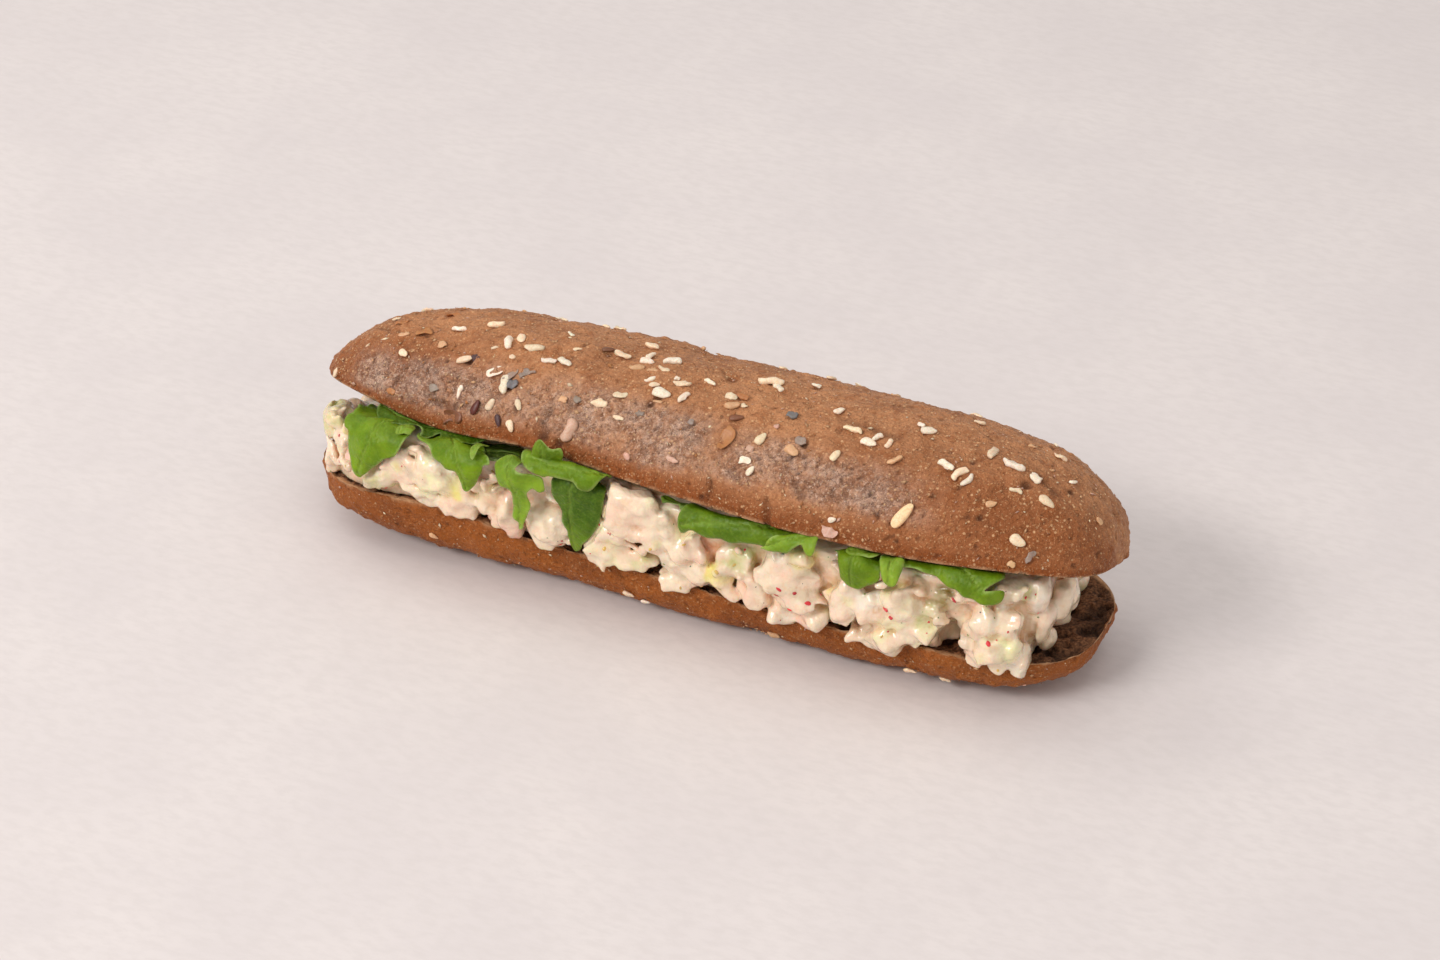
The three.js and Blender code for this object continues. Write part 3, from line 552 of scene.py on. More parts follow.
def crust_look(name):
    """Baked crust: grainy brown, redder at its rims, with bran flecks, a leathery, glossy band with painted
    reflections and glints, and painted shade in its wrinkles, low spots, pits, creases and holes.
    """
    middle, rim, dark, mottled, flecked = CRUSTS[name]
    look = Look(name)
    band = look.values("band")
    broad = look.noise(16, 3, 0.55)
    patchy = look.noise(4.5, 3, 0.65)
    fine = look.noise(0.9, 3, 0.62)
    grain = look.noise(0.5, 2, 0.6)
    colour = look.mix(look.values("rim"), middle, rim)
    colour = look.mix(look.range(broad, 0.4, 0.7, 0, 0.4), colour, dark)
    colour = look.mix(look.range(patchy, 0.5, 0.66, 0, 0.4), colour, rim)
    # Painted reflection: a pale mauve colour along the band, standing in for the lamps' glossy reflection
    sheen = look.times(band, look.range(patchy, 0.6, 0.42, 0.25, 0.65))
    colour = look.mix(sheen, colour, CRUST_MARKS["sheen"])
    leathery = look.range(band, 0, 0.8, 0.25 * mottled, mottled)
    # Painted shade in the valleys of the wrinkles, stronger in the band
    valley = look.times(look.times(look.values("valley"), 0.45), leathery)
    colour = look.mix(valley, colour, darker(dark, 0.6))
    # Painted shade in the low spots of the fine relief
    hollow = look.times(look.range(fine, 0.42, 0.32, 0, 0.4), leathery)
    colour = look.mix(hollow, colour, darker(dark, 0.7))
    colour = look.mix(look.range(fine, 0.58, 0.68, 0, 0.35), colour, CRUST_MARKS["grain"])
    # Painted glints: pale specks on the band that stand in for small highlights
    spark = look.times(look.range(look.noise(0.8, 3, 0.7), 0.54, 0.64, 0, 0.55), look.range(band, 0.1, 0.9))
    colour = look.mix(spark, colour, CRUST_MARKS["spark"])
    chosen = look.range(look.cells(1.3, "Color"), 0.5, 0.56)
    chosen = look.times(chosen, look.range(broad, 0.35, 0.55, 0.3, 1))
    flecks = look.times(look.range(look.cells(1.3), 0.15, 0.3, 1, 0), chosen)
    flecks = look.math("MAXIMUM", flecks, look.times(look.range(grain, 0.6, 0.68), 0.7))
    colour = look.mix(look.times(flecks, flecked), colour, CRUST_MARKS["bran"])
    # Painted shade in the low spots of the finest relief
    colour = look.mix(look.range(grain, 0.39, 0.3, 0, 0.3), colour, darker(dark, 0.5))
    colour = look.mix(look.times(look.values("torn"), 0.7), colour, CRUST_MARKS["torn"])
    # Painted shade in pits, creases and holes
    colour = look.mix(look.values("pit"), colour, CRUST_MARKS["pit"])
    relief = look.bump(look.times(look.noise(1.6, 4, 0.65, 0.8), look.range(band, 0, 1, 0.6, 1.2)), 1.3)
    relief = look.bump(fine, 0.7, relief)
    relief = look.bump(grain, 0.2, relief)
    coat = look.times(look.range(band, 0, 0.8, 0.05, 1), look.range(patchy, 0.66, 0.4, 0.4, 1))
    look.feed(coat, look.surface.inputs["Coat Weight"])
    look.feed(look.bump(fine, 1.5, relief), look.surface.inputs["Coat Normal"])
    return look.finish(colour, 0.55, relief, Specular_IOR_Level=0.2, Coat_Roughness=0.2, Coat_IOR=1.75,
                       Sheen_Weight=0.05, Sheen_Roughness=0.4, Sheen_Tint=(0.9, 0.7, 0.6, 1))


def crumb_look():
    """Cut face of the dark roll: porous crumb, with painted shade in its pores and holes."""
    look = Look("crumb")
    pores = look.cells(1.7)
    small = look.noise(0.6, 3, 0.6)
    colour = look.mix(look.range(small, 0.3, 0.72), CRUMB_COLOURS["dark"], CRUMB_COLOURS["light"])
    # Painted shade in the crumb's pores, and below in its holes
    colour = look.mix(look.range(pores, 0.1, 0.5, 0.7, 0), colour, CRUMB_COLOURS["pore_shade"])
    colour = look.mix(look.values("rim"), colour, CRUMB_COLOURS["rim"])
    colour = look.mix(look.times(look.values("pit"), 0.8), colour, CRUMB_COLOURS["hole_shade"])
    relief = look.bump(small, 0.35, look.bump(pores, 0.7))
    return look.finish(colour, 0.85, relief, Specular_IOR_Level=0.25)


def seed_look(name, roughness):
    look = Look(name)
    grain = look.noise(0.5, 3, 0.6)
    shaded = look.range(grain, 0.35, 0.75, 0, 0.45)
    colour = look.mix(shaded, look.values("tint", "Color"), SEED_SHADE, "MULTIPLY")
    return look.finish(colour, roughness, look.bump(grain, 0.1), Specular_IOR_Level=0.45,
                       Subsurface_Weight=0.12, Subsurface_Scale=0.5 * MM)


def salad_look():
    """Chicken and pickle coated in dressing: pale, moist and slightly translucent."""
    look = Look("salad")
    cloud = look.noise(3.4, 2, 0.5)
    streaks = look.noise(1.6, 3, 0.6, 0.5)
    colour = look.mix(look.range(cloud, 0.42, 0.7, 0, 0.3), look.values("tint", "Color"), DRESSING)
    warm = look.mix(1.0, colour, DRESSING_SHADE, "MULTIPLY")
    colour = look.mix(look.range(streaks, 0.52, 0.7, 0, 0.25), colour, warm)
    relief = look.bump(streaks, 0.15, look.bump(look.noise(2.2, 3, 0.5), 0.5))
    rough = look.range(cloud, 0.3, 0.7, 0.2, 0.36)
    return look.finish(colour, rough, relief, Specular_IOR_Level=0.5, Subsurface_Weight=0.25,
                       Subsurface_Scale=1.0 * MM, Coat_Weight=0.9, Coat_Roughness=0.14)


def speck_look():
    look = Look("salad_specks")
    return look.finish(look.values("tint", "Color"), 0.35, look.bump(look.noise(0.5, 2), 0.1),
                       Subsurface_Weight=0.15, Subsurface_Scale=0.6 * MM, Coat_Weight=0.2)


def leaf_look():
    """Rocket leaf: fresh green, pale midrib and veins, and a painted highlight along the rim."""
    look = Look("leaf")
    patches = look.noise(5, 3, 0.55)
    grain = look.noise(0.6, 3, 0.6)
    vein = look.values("vein")
    tint = look.values("tint", "Color")
    shaded = look.mix(1.0, tint, LEAF_SHADE, "MULTIPLY")
    colour = look.mix(look.range(patches, 0.35, 0.65), tint, shaded)
    colour = look.mix(look.range(grain, 0.4, 0.7, 0, 0.15), colour, LEAF_GRAIN)
    colour = look.mix(look.times(vein, 0.34), colour, LEAF_VEIN)
    # Painted highlight along the rim of each blade
    edge = look.times(look.values("rim"), look.range(patches, 0.4, 0.6, 0.1, 0.5))
    colour = look.mix(edge, colour, LEAF_RIM)
    relief = look.bump(vein, -0.5)
    relief = look.bump(look.noise(1.6, 3, 0.6), 0.2, relief)
    relief = look.bump(grain, 0.08, relief)
    return look.finish(colour, 0.4, relief, Specular_IOR_Level=0.2, Subsurface_Weight=0.1,
                       Subsurface_Scale=0.8 * MM)


def floor_look():
    look = Look("floor")
    low, high, grain = FLOOR_COLOURS
    colour = look.mix(look.range(look.noise(55, 4, 0.6), 0.3, 0.7), low, high)
    fine = look.noise(2.4, 3, 0.6, stretch=(0.5, 1, 1))
    colour = look.mix(look.range(fine, 0.35, 0.7, 0, 0.5), colour, grain)
    return look.finish(colour, 0.7, Specular_IOR_Level=0.2)


# Crust relief

# Creases of the upper crust: points as (x in mm, degrees round from the front rim), width and depth (mm)
CREASES = (
    (((-31.5, 24), (-32.5, 16), (-31, 11)), 0.9, 1.0),
    (((13.2, 17), (13.8, 10), (13.4, 3)), 0.7, 0.9),
    (((28.2, 13), (28.8, 8), (29.6, 1)), 0.7, 0.9),
    (((2.5, 79), (4.5, 75), (7, 74)), 0.7, 0.8),
    (((-90, 66), (-86, 60), (-85, 55)), 0.6, 0.5),
    (((-66, 18), (-62, 15), (-58, 14)), 0.8, 0.6),
    (((-71, 38), (-70, 33), (-68, 31)), 0.6, 0.5),
    (((34, 25), (36, 22), (36.5, 19)), 0.7, 0.5),
    (((38, 66), (44, 64), (52, 63)), 1.2, 0.5),
    (((86, 66), (88, 62), (92, 58)), 0.7, 0.6),
)
# Small holes, darkened with painted shade: x (mm), degrees round, radius and depth (mm)
HOLES = (
    (-6.5, 47.5, 1.0, 1.1), (85, 54, 1.5, 1.4), (25.3, 87, 0.9, 0.9), (-25.2, 68.4, 0.8, 0.8),
    (-7.5, 43, 0.9, 0.8), (-58, 43.5, 1.7, 1.3), (-44.3, 32, 1.1, 0.7), (32.2, 45, 1.3, 0.9),
    (78, 28, 0.7, 0.7), (71, 60, 0.6, 0.6), (94, 66, 0.9, 0.7), (-64, 40, 0.6, 0.5), (-31.5, 8, 1.5, 0.7),
    (-27, 7, 1.2, 0.6), (12, 4, 1.0, 0.6), (61, 8, 0.7, 0.5), (52, 28, 0.7, 0.5), (66, 35, 0.6, 0.5),
)
# Painted shade of creases and holes: how dark, from 0 to 1, and how steep their sides
CREASE_MARK = (0.4, 2)
HOLE_MARK = (0.75, 4)
# Dimples of the crust: height, size (mm) and seed of each
DIMPLES = ((0.45, 7, 1), (0.28, 3.1, 2), (0.14, 1.1, 0))
WRINKLE_HEIGHT = 0.5
GRAIN_HEIGHT = 0.3
PIT_DEPTH = 0.35
TORN_WIDTH = 0.55
# The relief fades out over so many degrees at the rims
RIM_FADE = 4
# Leathery, glossy band along the front of the upper crust, where painted reflections and glints go, in
# degrees round:
# where it starts at the left, how much further up it starts in the middle and at the right, over how many it
# fades in, where it fades out, and how much lower it does so at the left
BAND_START = 3
BAND_RISES = ((3, -0.7, -0.4), (7, -0.1, 0.3))
BAND_FADE = 11
BAND_TOP = (30, 52)
BAND_TOP_LOWERED = 3
# As parts of the half length: where it fades in at the left and out at the right, and its strongest place
BAND_LEFT = (-0.91, -0.77)
BAND_RIGHT = (0.46, 0.74)
BAND_STRONGEST = -0.72
BAND_LIMIT = 1.8
# Cut face of the upper half, and of the lower half: depth of its pores and holes (mm)
LID_PORE_DEPTH = 0.5
BASE_PORE_DEPTH = 0.7
BASE_HOLE_DEPTH = 1.1


def crust_relief(points, leathery):
    """Relief of the crust (mm), with how deep each point lies in the pits, and in the wrinkles, which set the
    painted shade there.
    """
    wrinkles = ridged(points, 2.3, 3) * ridged(points, 1.6, 4)
    pits = smoothstep(0.62, 0.86, noise(points, 1.4, 5))
    grains = smoothstep(0.42, 0.75, noise(points, 2.2, 6))
    relief = noise_sum(points, DIMPLES) + WRINKLE_HEIGHT * (wrinkles - 0.45) * (0.5 + 0.8 * leathery)
    relief = relief + GRAIN_HEIGHT * grains - PIT_DEPTH * pits
    return relief, 0.45 * pits, 1 - smoothstep(0.02, 0.35, wrinkles)


def path_distance(points, path):
    """Distance from points to a path of straight stretches."""
    nearest = np.full(points.shape[:-1], 1e9)
    for start, end in zip(path, path[1:]):
        way = end - start
        part = np.clip((points - start) @ way / (way @ way), 0, 1)
        nearest = np.minimum(nearest, np.linalg.norm(points - start - part[..., None] * way, axis=-1))
    return nearest


def lid_place(x, degrees):
    """Point of the upper crust, from mm along it and degrees round from the front rim."""
    return lid_point(np.array(x / LID_HALF_LENGTH), math.radians(degrees))


def lid_marks(points):
    """Creases and holes of the upper crust: how deep (mm), and how dark from 0 to 1, as painted shade."""
    marks = []
    for places, width, deep in CREASES:
        distance = path_distance(points, [lid_place(*place) for place in places])
        marks.append((distance, width, deep, *CREASE_MARK))
    for *place, radius, deep in HOLES:
        distance = np.linalg.norm(points - lid_place(*place), axis=-1)
        marks.append((distance, radius, deep, *HOLE_MARK))
    depth = np.zeros(points.shape[:2])
    dark = np.zeros(points.shape[:2])
    wander = 0.5 * noise(points, 2.2, 6)
    for distance, width, deep, shade, steep in marks:
        mark = np.exp(-((distance + wander) / width) ** steep)
        depth = np.maximum(depth, deep * mark)
        dark = np.maximum(dark, shade * mark)
    return depth, dark


def torn_rim(crust, step):
    """How torn and pale the crust is along its two rims, from 0 to 1."""
    from_rim = step * np.arange(crust.shape[1])
    from_rim = np.minimum(from_rim, from_rim[::-1])
    return np.exp(-(from_rim / TORN_WIDTH) ** 2) * smoothstep(-0.3, 0.3, noise(crust, 2.2, 2))


def from_rims(degrees):
    """Degrees to the nearer of the two rims."""
    return np.minimum(degrees, 180 - degrees)


def pushed_out(crust, height, facing):
    """The crust's points moved out of it; facing is 1 where its middle faces up, and -1 where down."""
    normals = normals_of(crust)
    rows, columns = crust.shape[:2]
    normals *= facing * np.sign(normals[rows // 2, columns // 2, 2])
    return crust + normals * height[..., None]


def leathery_band(u, degrees, crust):
    """How leathery and shiny the upper crust is, from 0 to 1, and more at its strongest place; it also sets
    the painted reflections and glints.
    """
    start = BAND_START + sum(rise * smoothstep(low, high, u) for rise, low, high in BAND_RISES)[:, None]
    lowered = BAND_TOP_LOWERED * (1 - smoothstep(-0.75, -0.45, u))[:, None]
    band = smoothstep(start, start + BAND_FADE, degrees) * (1 - smoothstep(*BAND_TOP, degrees + lowered))
    band = band * (1 - smoothstep(*BAND_RIGHT, u))[:, None] * (0.8 + 0.7 * noise(crust, 9, 7))
    stronger = 1 + 0.7 * np.exp(-((u - BAND_STRONGEST) / 0.12) ** 2)
    return np.clip(band * (smoothstep(*BAND_LEFT, u) * stronger)[:, None], 0, BAND_LIMIT)


def upper_half(materials):
    u = even_stations(LID_HALF_LENGTH, LID_HALF_WIDTH, LID_TIPS, CRUST_STEP)
    around = even_angles(LID_HALF_WIDTH, LID_RISE, LID_SECTION, CRUST_STEP)
    crust = lid_point(u[:, None], around[None])
    degrees = np.degrees(around)[None]
    band = leathery_band(u, degrees, crust)
    relief, pit, valley = crust_relief(crust, np.minimum(band, 1))
    depth, dark = lid_marks(crust)
    crust = pushed_out(crust, relief * np.minimum(1, from_rims(degrees) / RIM_FADE) - depth, 1)
    across = np.cos(np.linspace(0, math.pi, LID_FACE_COLUMNS))
    face = lid_face_point(u[:, None], across[None])
    face[..., 2] += LID_PORE_DEPTH * smoothstep(0.25, 0.7, noise(face, 1.6, 3))
    face[:, 0], face[:, -1] = crust[:, -1], crust[:, 0]
    thing, shape = roll_half("crust_top", crust, face, materials)
    ends = smoothstep(0.3, 0.75, np.abs(u))[:, None] * (1 - smoothstep(35, 75, degrees)) * 0.7
    rim = np.maximum(1 - smoothstep(0, 24, from_rims(degrees)), ends)
    roll_values(thing, shape, {}, rim=rim, band=band, pit=np.maximum(pit, dark), valley=valley,
                torn=torn_rim(crust, CRUST_STEP))
    return thing


def lower_half(materials):
    u = even_stations(BASE_HALF_LENGTH, BASE_HALF_WIDTH, BASE_TIPS, BASE_STEP)
    around = even_angles(BASE_HALF_WIDTH, BASE_RIM_HEIGHT, BASE_SECTION, BASE_STEP)
    crust = base_point(u[:, None], around[None])
    no_band = np.zeros(crust.shape[:2])
    relief, pit, valley = crust_relief(crust, no_band)
    off_floor = smoothstep(0.05, 1.5, crust[..., 2])
    fade = np.minimum(1, from_rims(np.degrees(around)[None]) / RIM_FADE)
    crust = pushed_out(crust, relief * fade * off_floor, -1)
    crust[..., 2] = np.maximum(0, crust[..., 2])
    across = np.cos(np.linspace(0, math.pi, BASE_FACE_COLUMNS))
    face = base_face_point(u[:, None], across[None])
    off_rim = np.minimum(1, 14 * (1 - np.abs(across)))[None]
    holes = BASE_HOLE_DEPTH * smoothstep(0.1, 0.6, noise(face, 3.4, 2))
    pores = BASE_PORE_DEPTH * smoothstep(0.15, 0.55, noise(face, 1.5, 4))
    depth = (holes + pores) * off_rim
    face[..., 2] -= depth - 0.3 * noise(face, 2.2, 5) * off_rim
    face[:, 0], face[:, -1] = crust[:, -1], crust[:, 0]
    thing, shape = roll_half("crust_bottom", crust, face, materials)
    tone = np.clip(0.55 + 0.5 * noise(crust, 20, 6), 0, 1)
    on_face = {
        "rim": (1 - smoothstep(0.02, 0.08, 1 - np.abs(across)))[None, 1:-1],
        # Painted shade in the crumb's holes and pores, by how deep they are
        "pit": np.clip(depth / 1.4, 0, 1)[1:-1, 1:-1],
    }
    roll_values(thing, shape, on_face, rim=tone, band=no_band, pit=pit, valley=valley,
                torn=torn_rim(crust, BASE_STEP))
    return thing


# Seeds and flakes

TINTS = {
    "white": srgb(247, 233, 210), "cream": srgb(243, 220, 186), "tan": srgb(218, 174, 130),
    "amber": srgb(186, 124, 72), "brown": srgb(124, 78, 50), "flax": srgb(92, 36, 22),
    "plum": srgb(76, 50, 50), "slate": srgb(120, 116, 116), "grey": srgb(156, 138, 124),
    "pink": srgb(214, 172, 150), "golden": srgb(246, 214, 164),
}
# For each kind: width and height as parts of its length, how blunt, how pointed, how rough, how bent
SEED_KINDS = {
    "sesame": (0.6, 0.32, 0.85, 0.3, 0.1, 0.0),
    "oat": (0.42, 0.28, 0.6, 0.0, 0.26, 0.08),
    "flake": (0.52, 0.1, 0.6, 0.1, 0.3, 0.16),
    "flax": (0.5, 0.26, 0.85, 0.28, 0.0, 0.0),
    "kernel": (0.4, 0.32, 0.8, 0.12, 0.03, 0.0),
    "round": (0.8, 0.3, 0.7, 0.0, 0.2, 0.0),
}
# Upper crust: x (mm), degrees round from the front rim, kind, turn (degrees), length (mm), tint
LID_SEEDS = (
    (-98, 10, "sesame", 60, 3.4, "cream"), (-77, 39, "sesame", -20, 4, "cream"),
    (-80, 54, "oat", 20, 3.6, "tan"), (-67.5, 50, "round", 0, 3, "tan"),
    (-59.2, 42.6, "kernel", 25, 4.4, "cream"), (-56.5, 45, "round", 0, 3, "plum"),
    (-66, 64, "oat", 5, 5, "white"), (-84, 105, "round", 0, 4, "cream"), (-57.5, 72, "oat", 12, 6, "cream"),
    (-87, 75, "oat", 15, 3, "cream"), (-71, 80, "flake", -5, 5, "amber"),
    (-50.5, 58, "oat", -65, 7, "white"), (-48, 63, "sesame", -60, 4.6, "cream"),
    (-43, 58, "oat", 20, 6, "cream"), (-49.5, 39, "flake", 30, 6, "white"),
    (-45.5, 32, "oat", -75, 7, "white"), (-45, 38.5, "flake", 45, 5, "grey"),
    (-42, 40, "flake", 50, 4, "grey"), (-40, 42, "oat", 40, 3, "grey"), (-44, 33.5, "round", 0, 4, "slate"),
    (-57, 24, "oat", 85, 4.4, "white"), (-51.5, 17, "flax", 70, 5, "flax"),
    (-47.5, 20, "sesame", 60, 4.2, "cream"), (-44.5, 12, "flax", -70, 4, "plum"),
    (-40.7, 10, "sesame", -65, 4.2, "cream"), (-40, 22.5, "sesame", -55, 3.7, "cream"),
    (-57, 8, "flake", 15, 7.5, "brown"), (-37.5, 52, "oat", 15, 5, "white"),
    (-33.5, 53, "oat", -20, 5.5, "white"), (-26, 70, "sesame", 20, 4, "brown"),
    (-21.5, 68, "oat", -8, 6, "cream"), (-33, 110, "round", 0, 4, "cream"),
    (-38, 77, "oat", -25, 3, "white"), (-33, 65, "oat", 25, 3, "cream"), (-19.5, 34, "oat", 8, 6, "cream"),
    (-15.5, 43, "flake", 30, 5, "cream"), (-13.5, 30.5, "oat", 10, 3.6, "cream"),
    (-8.8, 36, "round", 0, 2.6, "grey"), (-25, 16, "oat", 75, 7.5, "pink"),
    (-25.5, 33, "round", 0, 3, "grey"), (-29, 31, "round", 0, 3, "tan"),
    (-18, 86, "sesame", -10, 5, "cream"), (-15.5, 75, "oat", 80, 4.5, "white"),
    (-15, 69, "sesame", 10, 5, "white"), (-16, 62, "oat", 30, 5, "tan"), (-9.5, 74, "oat", 28, 6, "white"),
    (-9.5, 66, "oat", -10, 4.5, "cream"), (-11, 57, "oat", 55, 4, "white"),
    (-9, 54, "sesame", 20, 3.6, "cream"), (-6, 50, "sesame", 8, 6, "white"),
    (-3, 59, "oat", 10, 5.6, "cream"), (-0.5, 52, "oat", 75, 4.4, "white"), (-6, 45, "oat", 10, 3, "tan"),
    (2.5, 66, "oat", -15, 4.6, "white"), (-8.7, 13, "round", 0, 2.4, "pink"),
    (3, 18.5, "oat", -5, 4, "pink"), (4, 40, "round", 0, 2.2, "grey"), (13.5, 36, "flake", 80, 8, "amber"),
    (9.5, 61, "round", 0, 3.6, "cream"), (12.4, 62, "round", 0, 3.6, "amber"),
    (11.5, 55, "sesame", 30, 5, "tan"), (14, 49, "flax", 25, 4.6, "brown"),
    (22, 42, "sesame", 75, 4.6, "cream"), (20.5, 35.5, "round", 0, 2.6, "pink"),
    (20.5, 28.5, "flake", 10, 4, "white"), (22.5, 25, "sesame", 70, 3.6, "white"),
    (15.5, 78, "oat", 25, 8, "cream"), (25, 88, "oat", 0, 3.2, "white"), (26, 60, "round", 0, 3.8, "slate"),
    (35.5, 70, "sesame", 60, 3.8, "white"), (41.5, 59, "oat", -8, 6, "cream"),
    (31.5, 46.5, "round", 0, 3.8, "grey"), (30.5, 40, "sesame", -25, 5.5, "tan"),
    (40.8, 43, "sesame", 70, 4, "cream"), (46.8, 54, "sesame", -10, 5, "white"),
    (48, 58, "oat", 60, 4, "white"), (51.2, 56, "oat", 80, 3.6, "cream"), (54.5, 47.5, "oat", 40, 5, "tan"),
    (61, 21.5, "kernel", 62, 7, "golden"), (58, 70, "sesame", 20, 5, "white"),
    (66, 52.5, "oat", -8, 5.5, "white"), (70, 49, "oat", 55, 6, "cream"),
    (72.2, 46.5, "oat", 65, 4.6, "white"), (74.3, 68, "oat", 88, 5.6, "cream"),
    (80, 64, "oat", -6, 7.6, "white"), (86, 61, "round", 0, 4, "white"),
    (83.5, 48, "oat", -5, 4.2, "cream"), (79.5, 37, "sesame", 25, 3.4, "tan"),
    (90.5, 48, "sesame", -15, 5.4, "cream"), (87.5, 20, "sesame", -20, 5, "cream"),
    (91, 12, "flake", 60, 4.4, "grey"), (87.3, 5.5, "round", 0, 2.6, "tan"),
    (87, 92, "oat", 25, 4.2, "cream"), (62, 110, "oat", -5, 4.2, "cream"),
    (66, 92, "oat", 20, 3.6, "cream"), (45, 6, "flake", -5, 5, "pink"), (93, 73, "oat", 70, 3.4, "white"),
    (101, 60, "round", 0, 2.4, "tan"), (45, 11.5, "sesame", 20, 2.6, "white"),
    (80.5, 87, "round", 0, 2.4, "tan"), (-77, 12, "round", 0, 2.8, "amber"),
    (-64.5, 23, "flake", 10, 4, "grey"), (55.5, 73, "oat", -30, 3, "white"),
    (-83, 66, "flake", 20, 5, "amber"), (-75, 58, "flake", 12, 6, "amber"),
    (-12, 63, "oat", 15, 3.4, "tan"), (-5, 62, "round", 0, 2.2, "white"), (7, 50, "round", 0, 1.8, "tan"),
    (14, 57, "round", 0, 2.2, "cream"), (18, 76, "oat", -30, 5, "white"),
    (-47, 49, "round", 0, 2.2, "cream"), (-53, 53, "oat", 30, 2.6, "cream"),
    (24, 51, "round", 0, 1.8, "pink"),
)
# Lower crust: the same, degrees round from its front rim
BASE_SEEDS = (
    (-10, 30, "sesame", 10, 4, "cream"), (-6, 36, "sesame", -15, 3.4, "white"),
    (63, 34, "sesame", 5, 4.2, "cream"), (71, 42, "oat", -10, 4, "cream"),
    (-62, 28, "sesame", 30, 3.4, "tan"), (28, 30, "oat", 0, 4, "tan"),
)
# Seeds drawn for the back of the upper crust: from x to x (mm), degrees round, lengths (mm), kinds and tints
BACK_SEEDS = 34
BACK_FROM = -90
BACK_TO = 94
BACK_DEGREES = (108, 168)
BACK_LENGTHS = (2.4, 6)
BACK_KINDS = ("sesame", "oat", "oat", "sesame", "flake", "round")
BACK_TINTS = ("cream", "white", "tan")
# Of the length given for a seed, as much as this is seed and the rest is blur; a kernel is as long as given
SEED_BLUR = 0.78
SEED_RINGS = 11
SEED_SIDES = 12
# Least height of a seed's middle over the crust (mm), and its height as a part of the seed's
SEED_LIFT = 0.3
SEED_LIFT_PART = 0.36
KERNEL_GROOVE = 0.07
# A fleck of bran, and the tints of the flecks
FLECK_POINTS = ((1, 0, 0), (-1, 0, 0), (0, 1, 0), (0, -1, 0), (0, 0, 1), (0, 0, -1))
FLECK_FACES = ((0, 2, 4), (2, 1, 4), (1, 3, 4), (3, 0, 4), (2, 0, 5), (1, 2, 5), (3, 1, 5), (0, 3, 5))
FLECK_TINTS = ("tan", "pink", "tan", "amber", "tan", "cream")
# How many flecks lie on each crust, and between which degrees round it
TOP_FLECKS = (2200, (4, 176))
BOTTOM_FLECKS = (380, (6, 60))


def pebble(kind, length, random):
    """Points of one seed, lying along X with its flat side down."""
    wide, tall, blunt, pointed, rough, bent = SEED_KINDS[kind]
    shape = ball(SEED_RINGS, SEED_SIDES, wide, tall, blunt, pointed) * (length / 2)
    offset = random.uniform(0, 60, 3)
    for axis in range(3):
        shape[..., axis] += rough * wide * length * noise(shape + offset + 9 * axis, length * 0.3, axis)
    bow = random.uniform(-1, 1) * bent * length
    shape[..., 1] += bow * (1 - (2 * shape[..., 0] / length) ** 2)
    if kind == "flake":
        shape[..., 2] += 0.9 * (shape[..., 1] / length) ** 2 * length
    if kind == "kernel":
        groove = np.exp(-((shape[..., 1] / (KERNEL_GROOVE * length)) ** 2)) * (shape[..., 2] > 0)
        shape[..., 2] -= KERNEL_GROOVE * length * groove
    return shape.reshape(-1, 3)


def seats(surface, u, around, step):
    """Places on a crust and its axes there: along the roll, round it, and up out of it on the upper crust."""
    at = surface(u, around)
    along = surface(u + step, around) - at
    round_it = surface(u, around + 0.02) - at
    along /= np.linalg.norm(along, axis=-1, keepdims=True)
    normal = np.cross(along, round_it)
    normal /= np.linalg.norm(normal, axis=-1, keepdims=True)
    return at, along, np.cross(normal, along), normal


def seeds(name, rows, surface, half_length, facing, material):
    """Seeds on a crust joined into one piece; facing is 1 on the upper crust and -1 on the lower."""
    random = np.random.RandomState(11)
    shapes, shades = [], []
    for x, degrees, kind, turn, length, tint in rows:
        u, around, turn = np.array(x / half_length), math.radians(degrees), math.radians(turn)
        at, along, sideways, normal = seats(surface, u, around, 0.5 / half_length)
        length = length if kind == "kernel" else length * SEED_BLUR
        shape = pebble(kind, length, random)
        x_axis = math.cos(turn) * along + math.sin(turn) * sideways
        y_axis = math.cos(turn) * sideways - math.sin(turn) * along
        out = facing * normal
        lift = max(SEED_LIFT, SEED_LIFT_PART * SEED_KINDS[kind][1] * length)
        placed = at + shape @ np.stack((x_axis, facing * y_axis, out)) + lift * out
        placed[:, 2] = np.maximum(0, placed[:, 2])
        shapes.append(placed)
        shades.append(TINTS[tint] * random.uniform(0.86, 1.1) * (1 + random.uniform(-0.03, 0.03, 3)))
    return joined(name, shapes, ring_faces(SEED_RINGS, SEED_SIDES), shades, material)


def lid_rows(kind):
    """Seeds of one kind on the upper crust, with the ones drawn for its back."""
    rows = list(LID_SEEDS)
    random = np.random.RandomState(77)
    for i in range(BACK_SEEDS):
        x = BACK_FROM + (BACK_TO - BACK_FROM) * (i + random.uniform()) / BACK_SEEDS
        own_kind, tint = BACK_KINDS[i % len(BACK_KINDS)], BACK_TINTS[i % len(BACK_TINTS)]
        rows.append((x, random.uniform(*BACK_DEGREES), own_kind, random.uniform(-90, 90),
                     random.uniform(*BACK_LENGTHS), tint))
    return [row for row in rows if row[2] == kind]


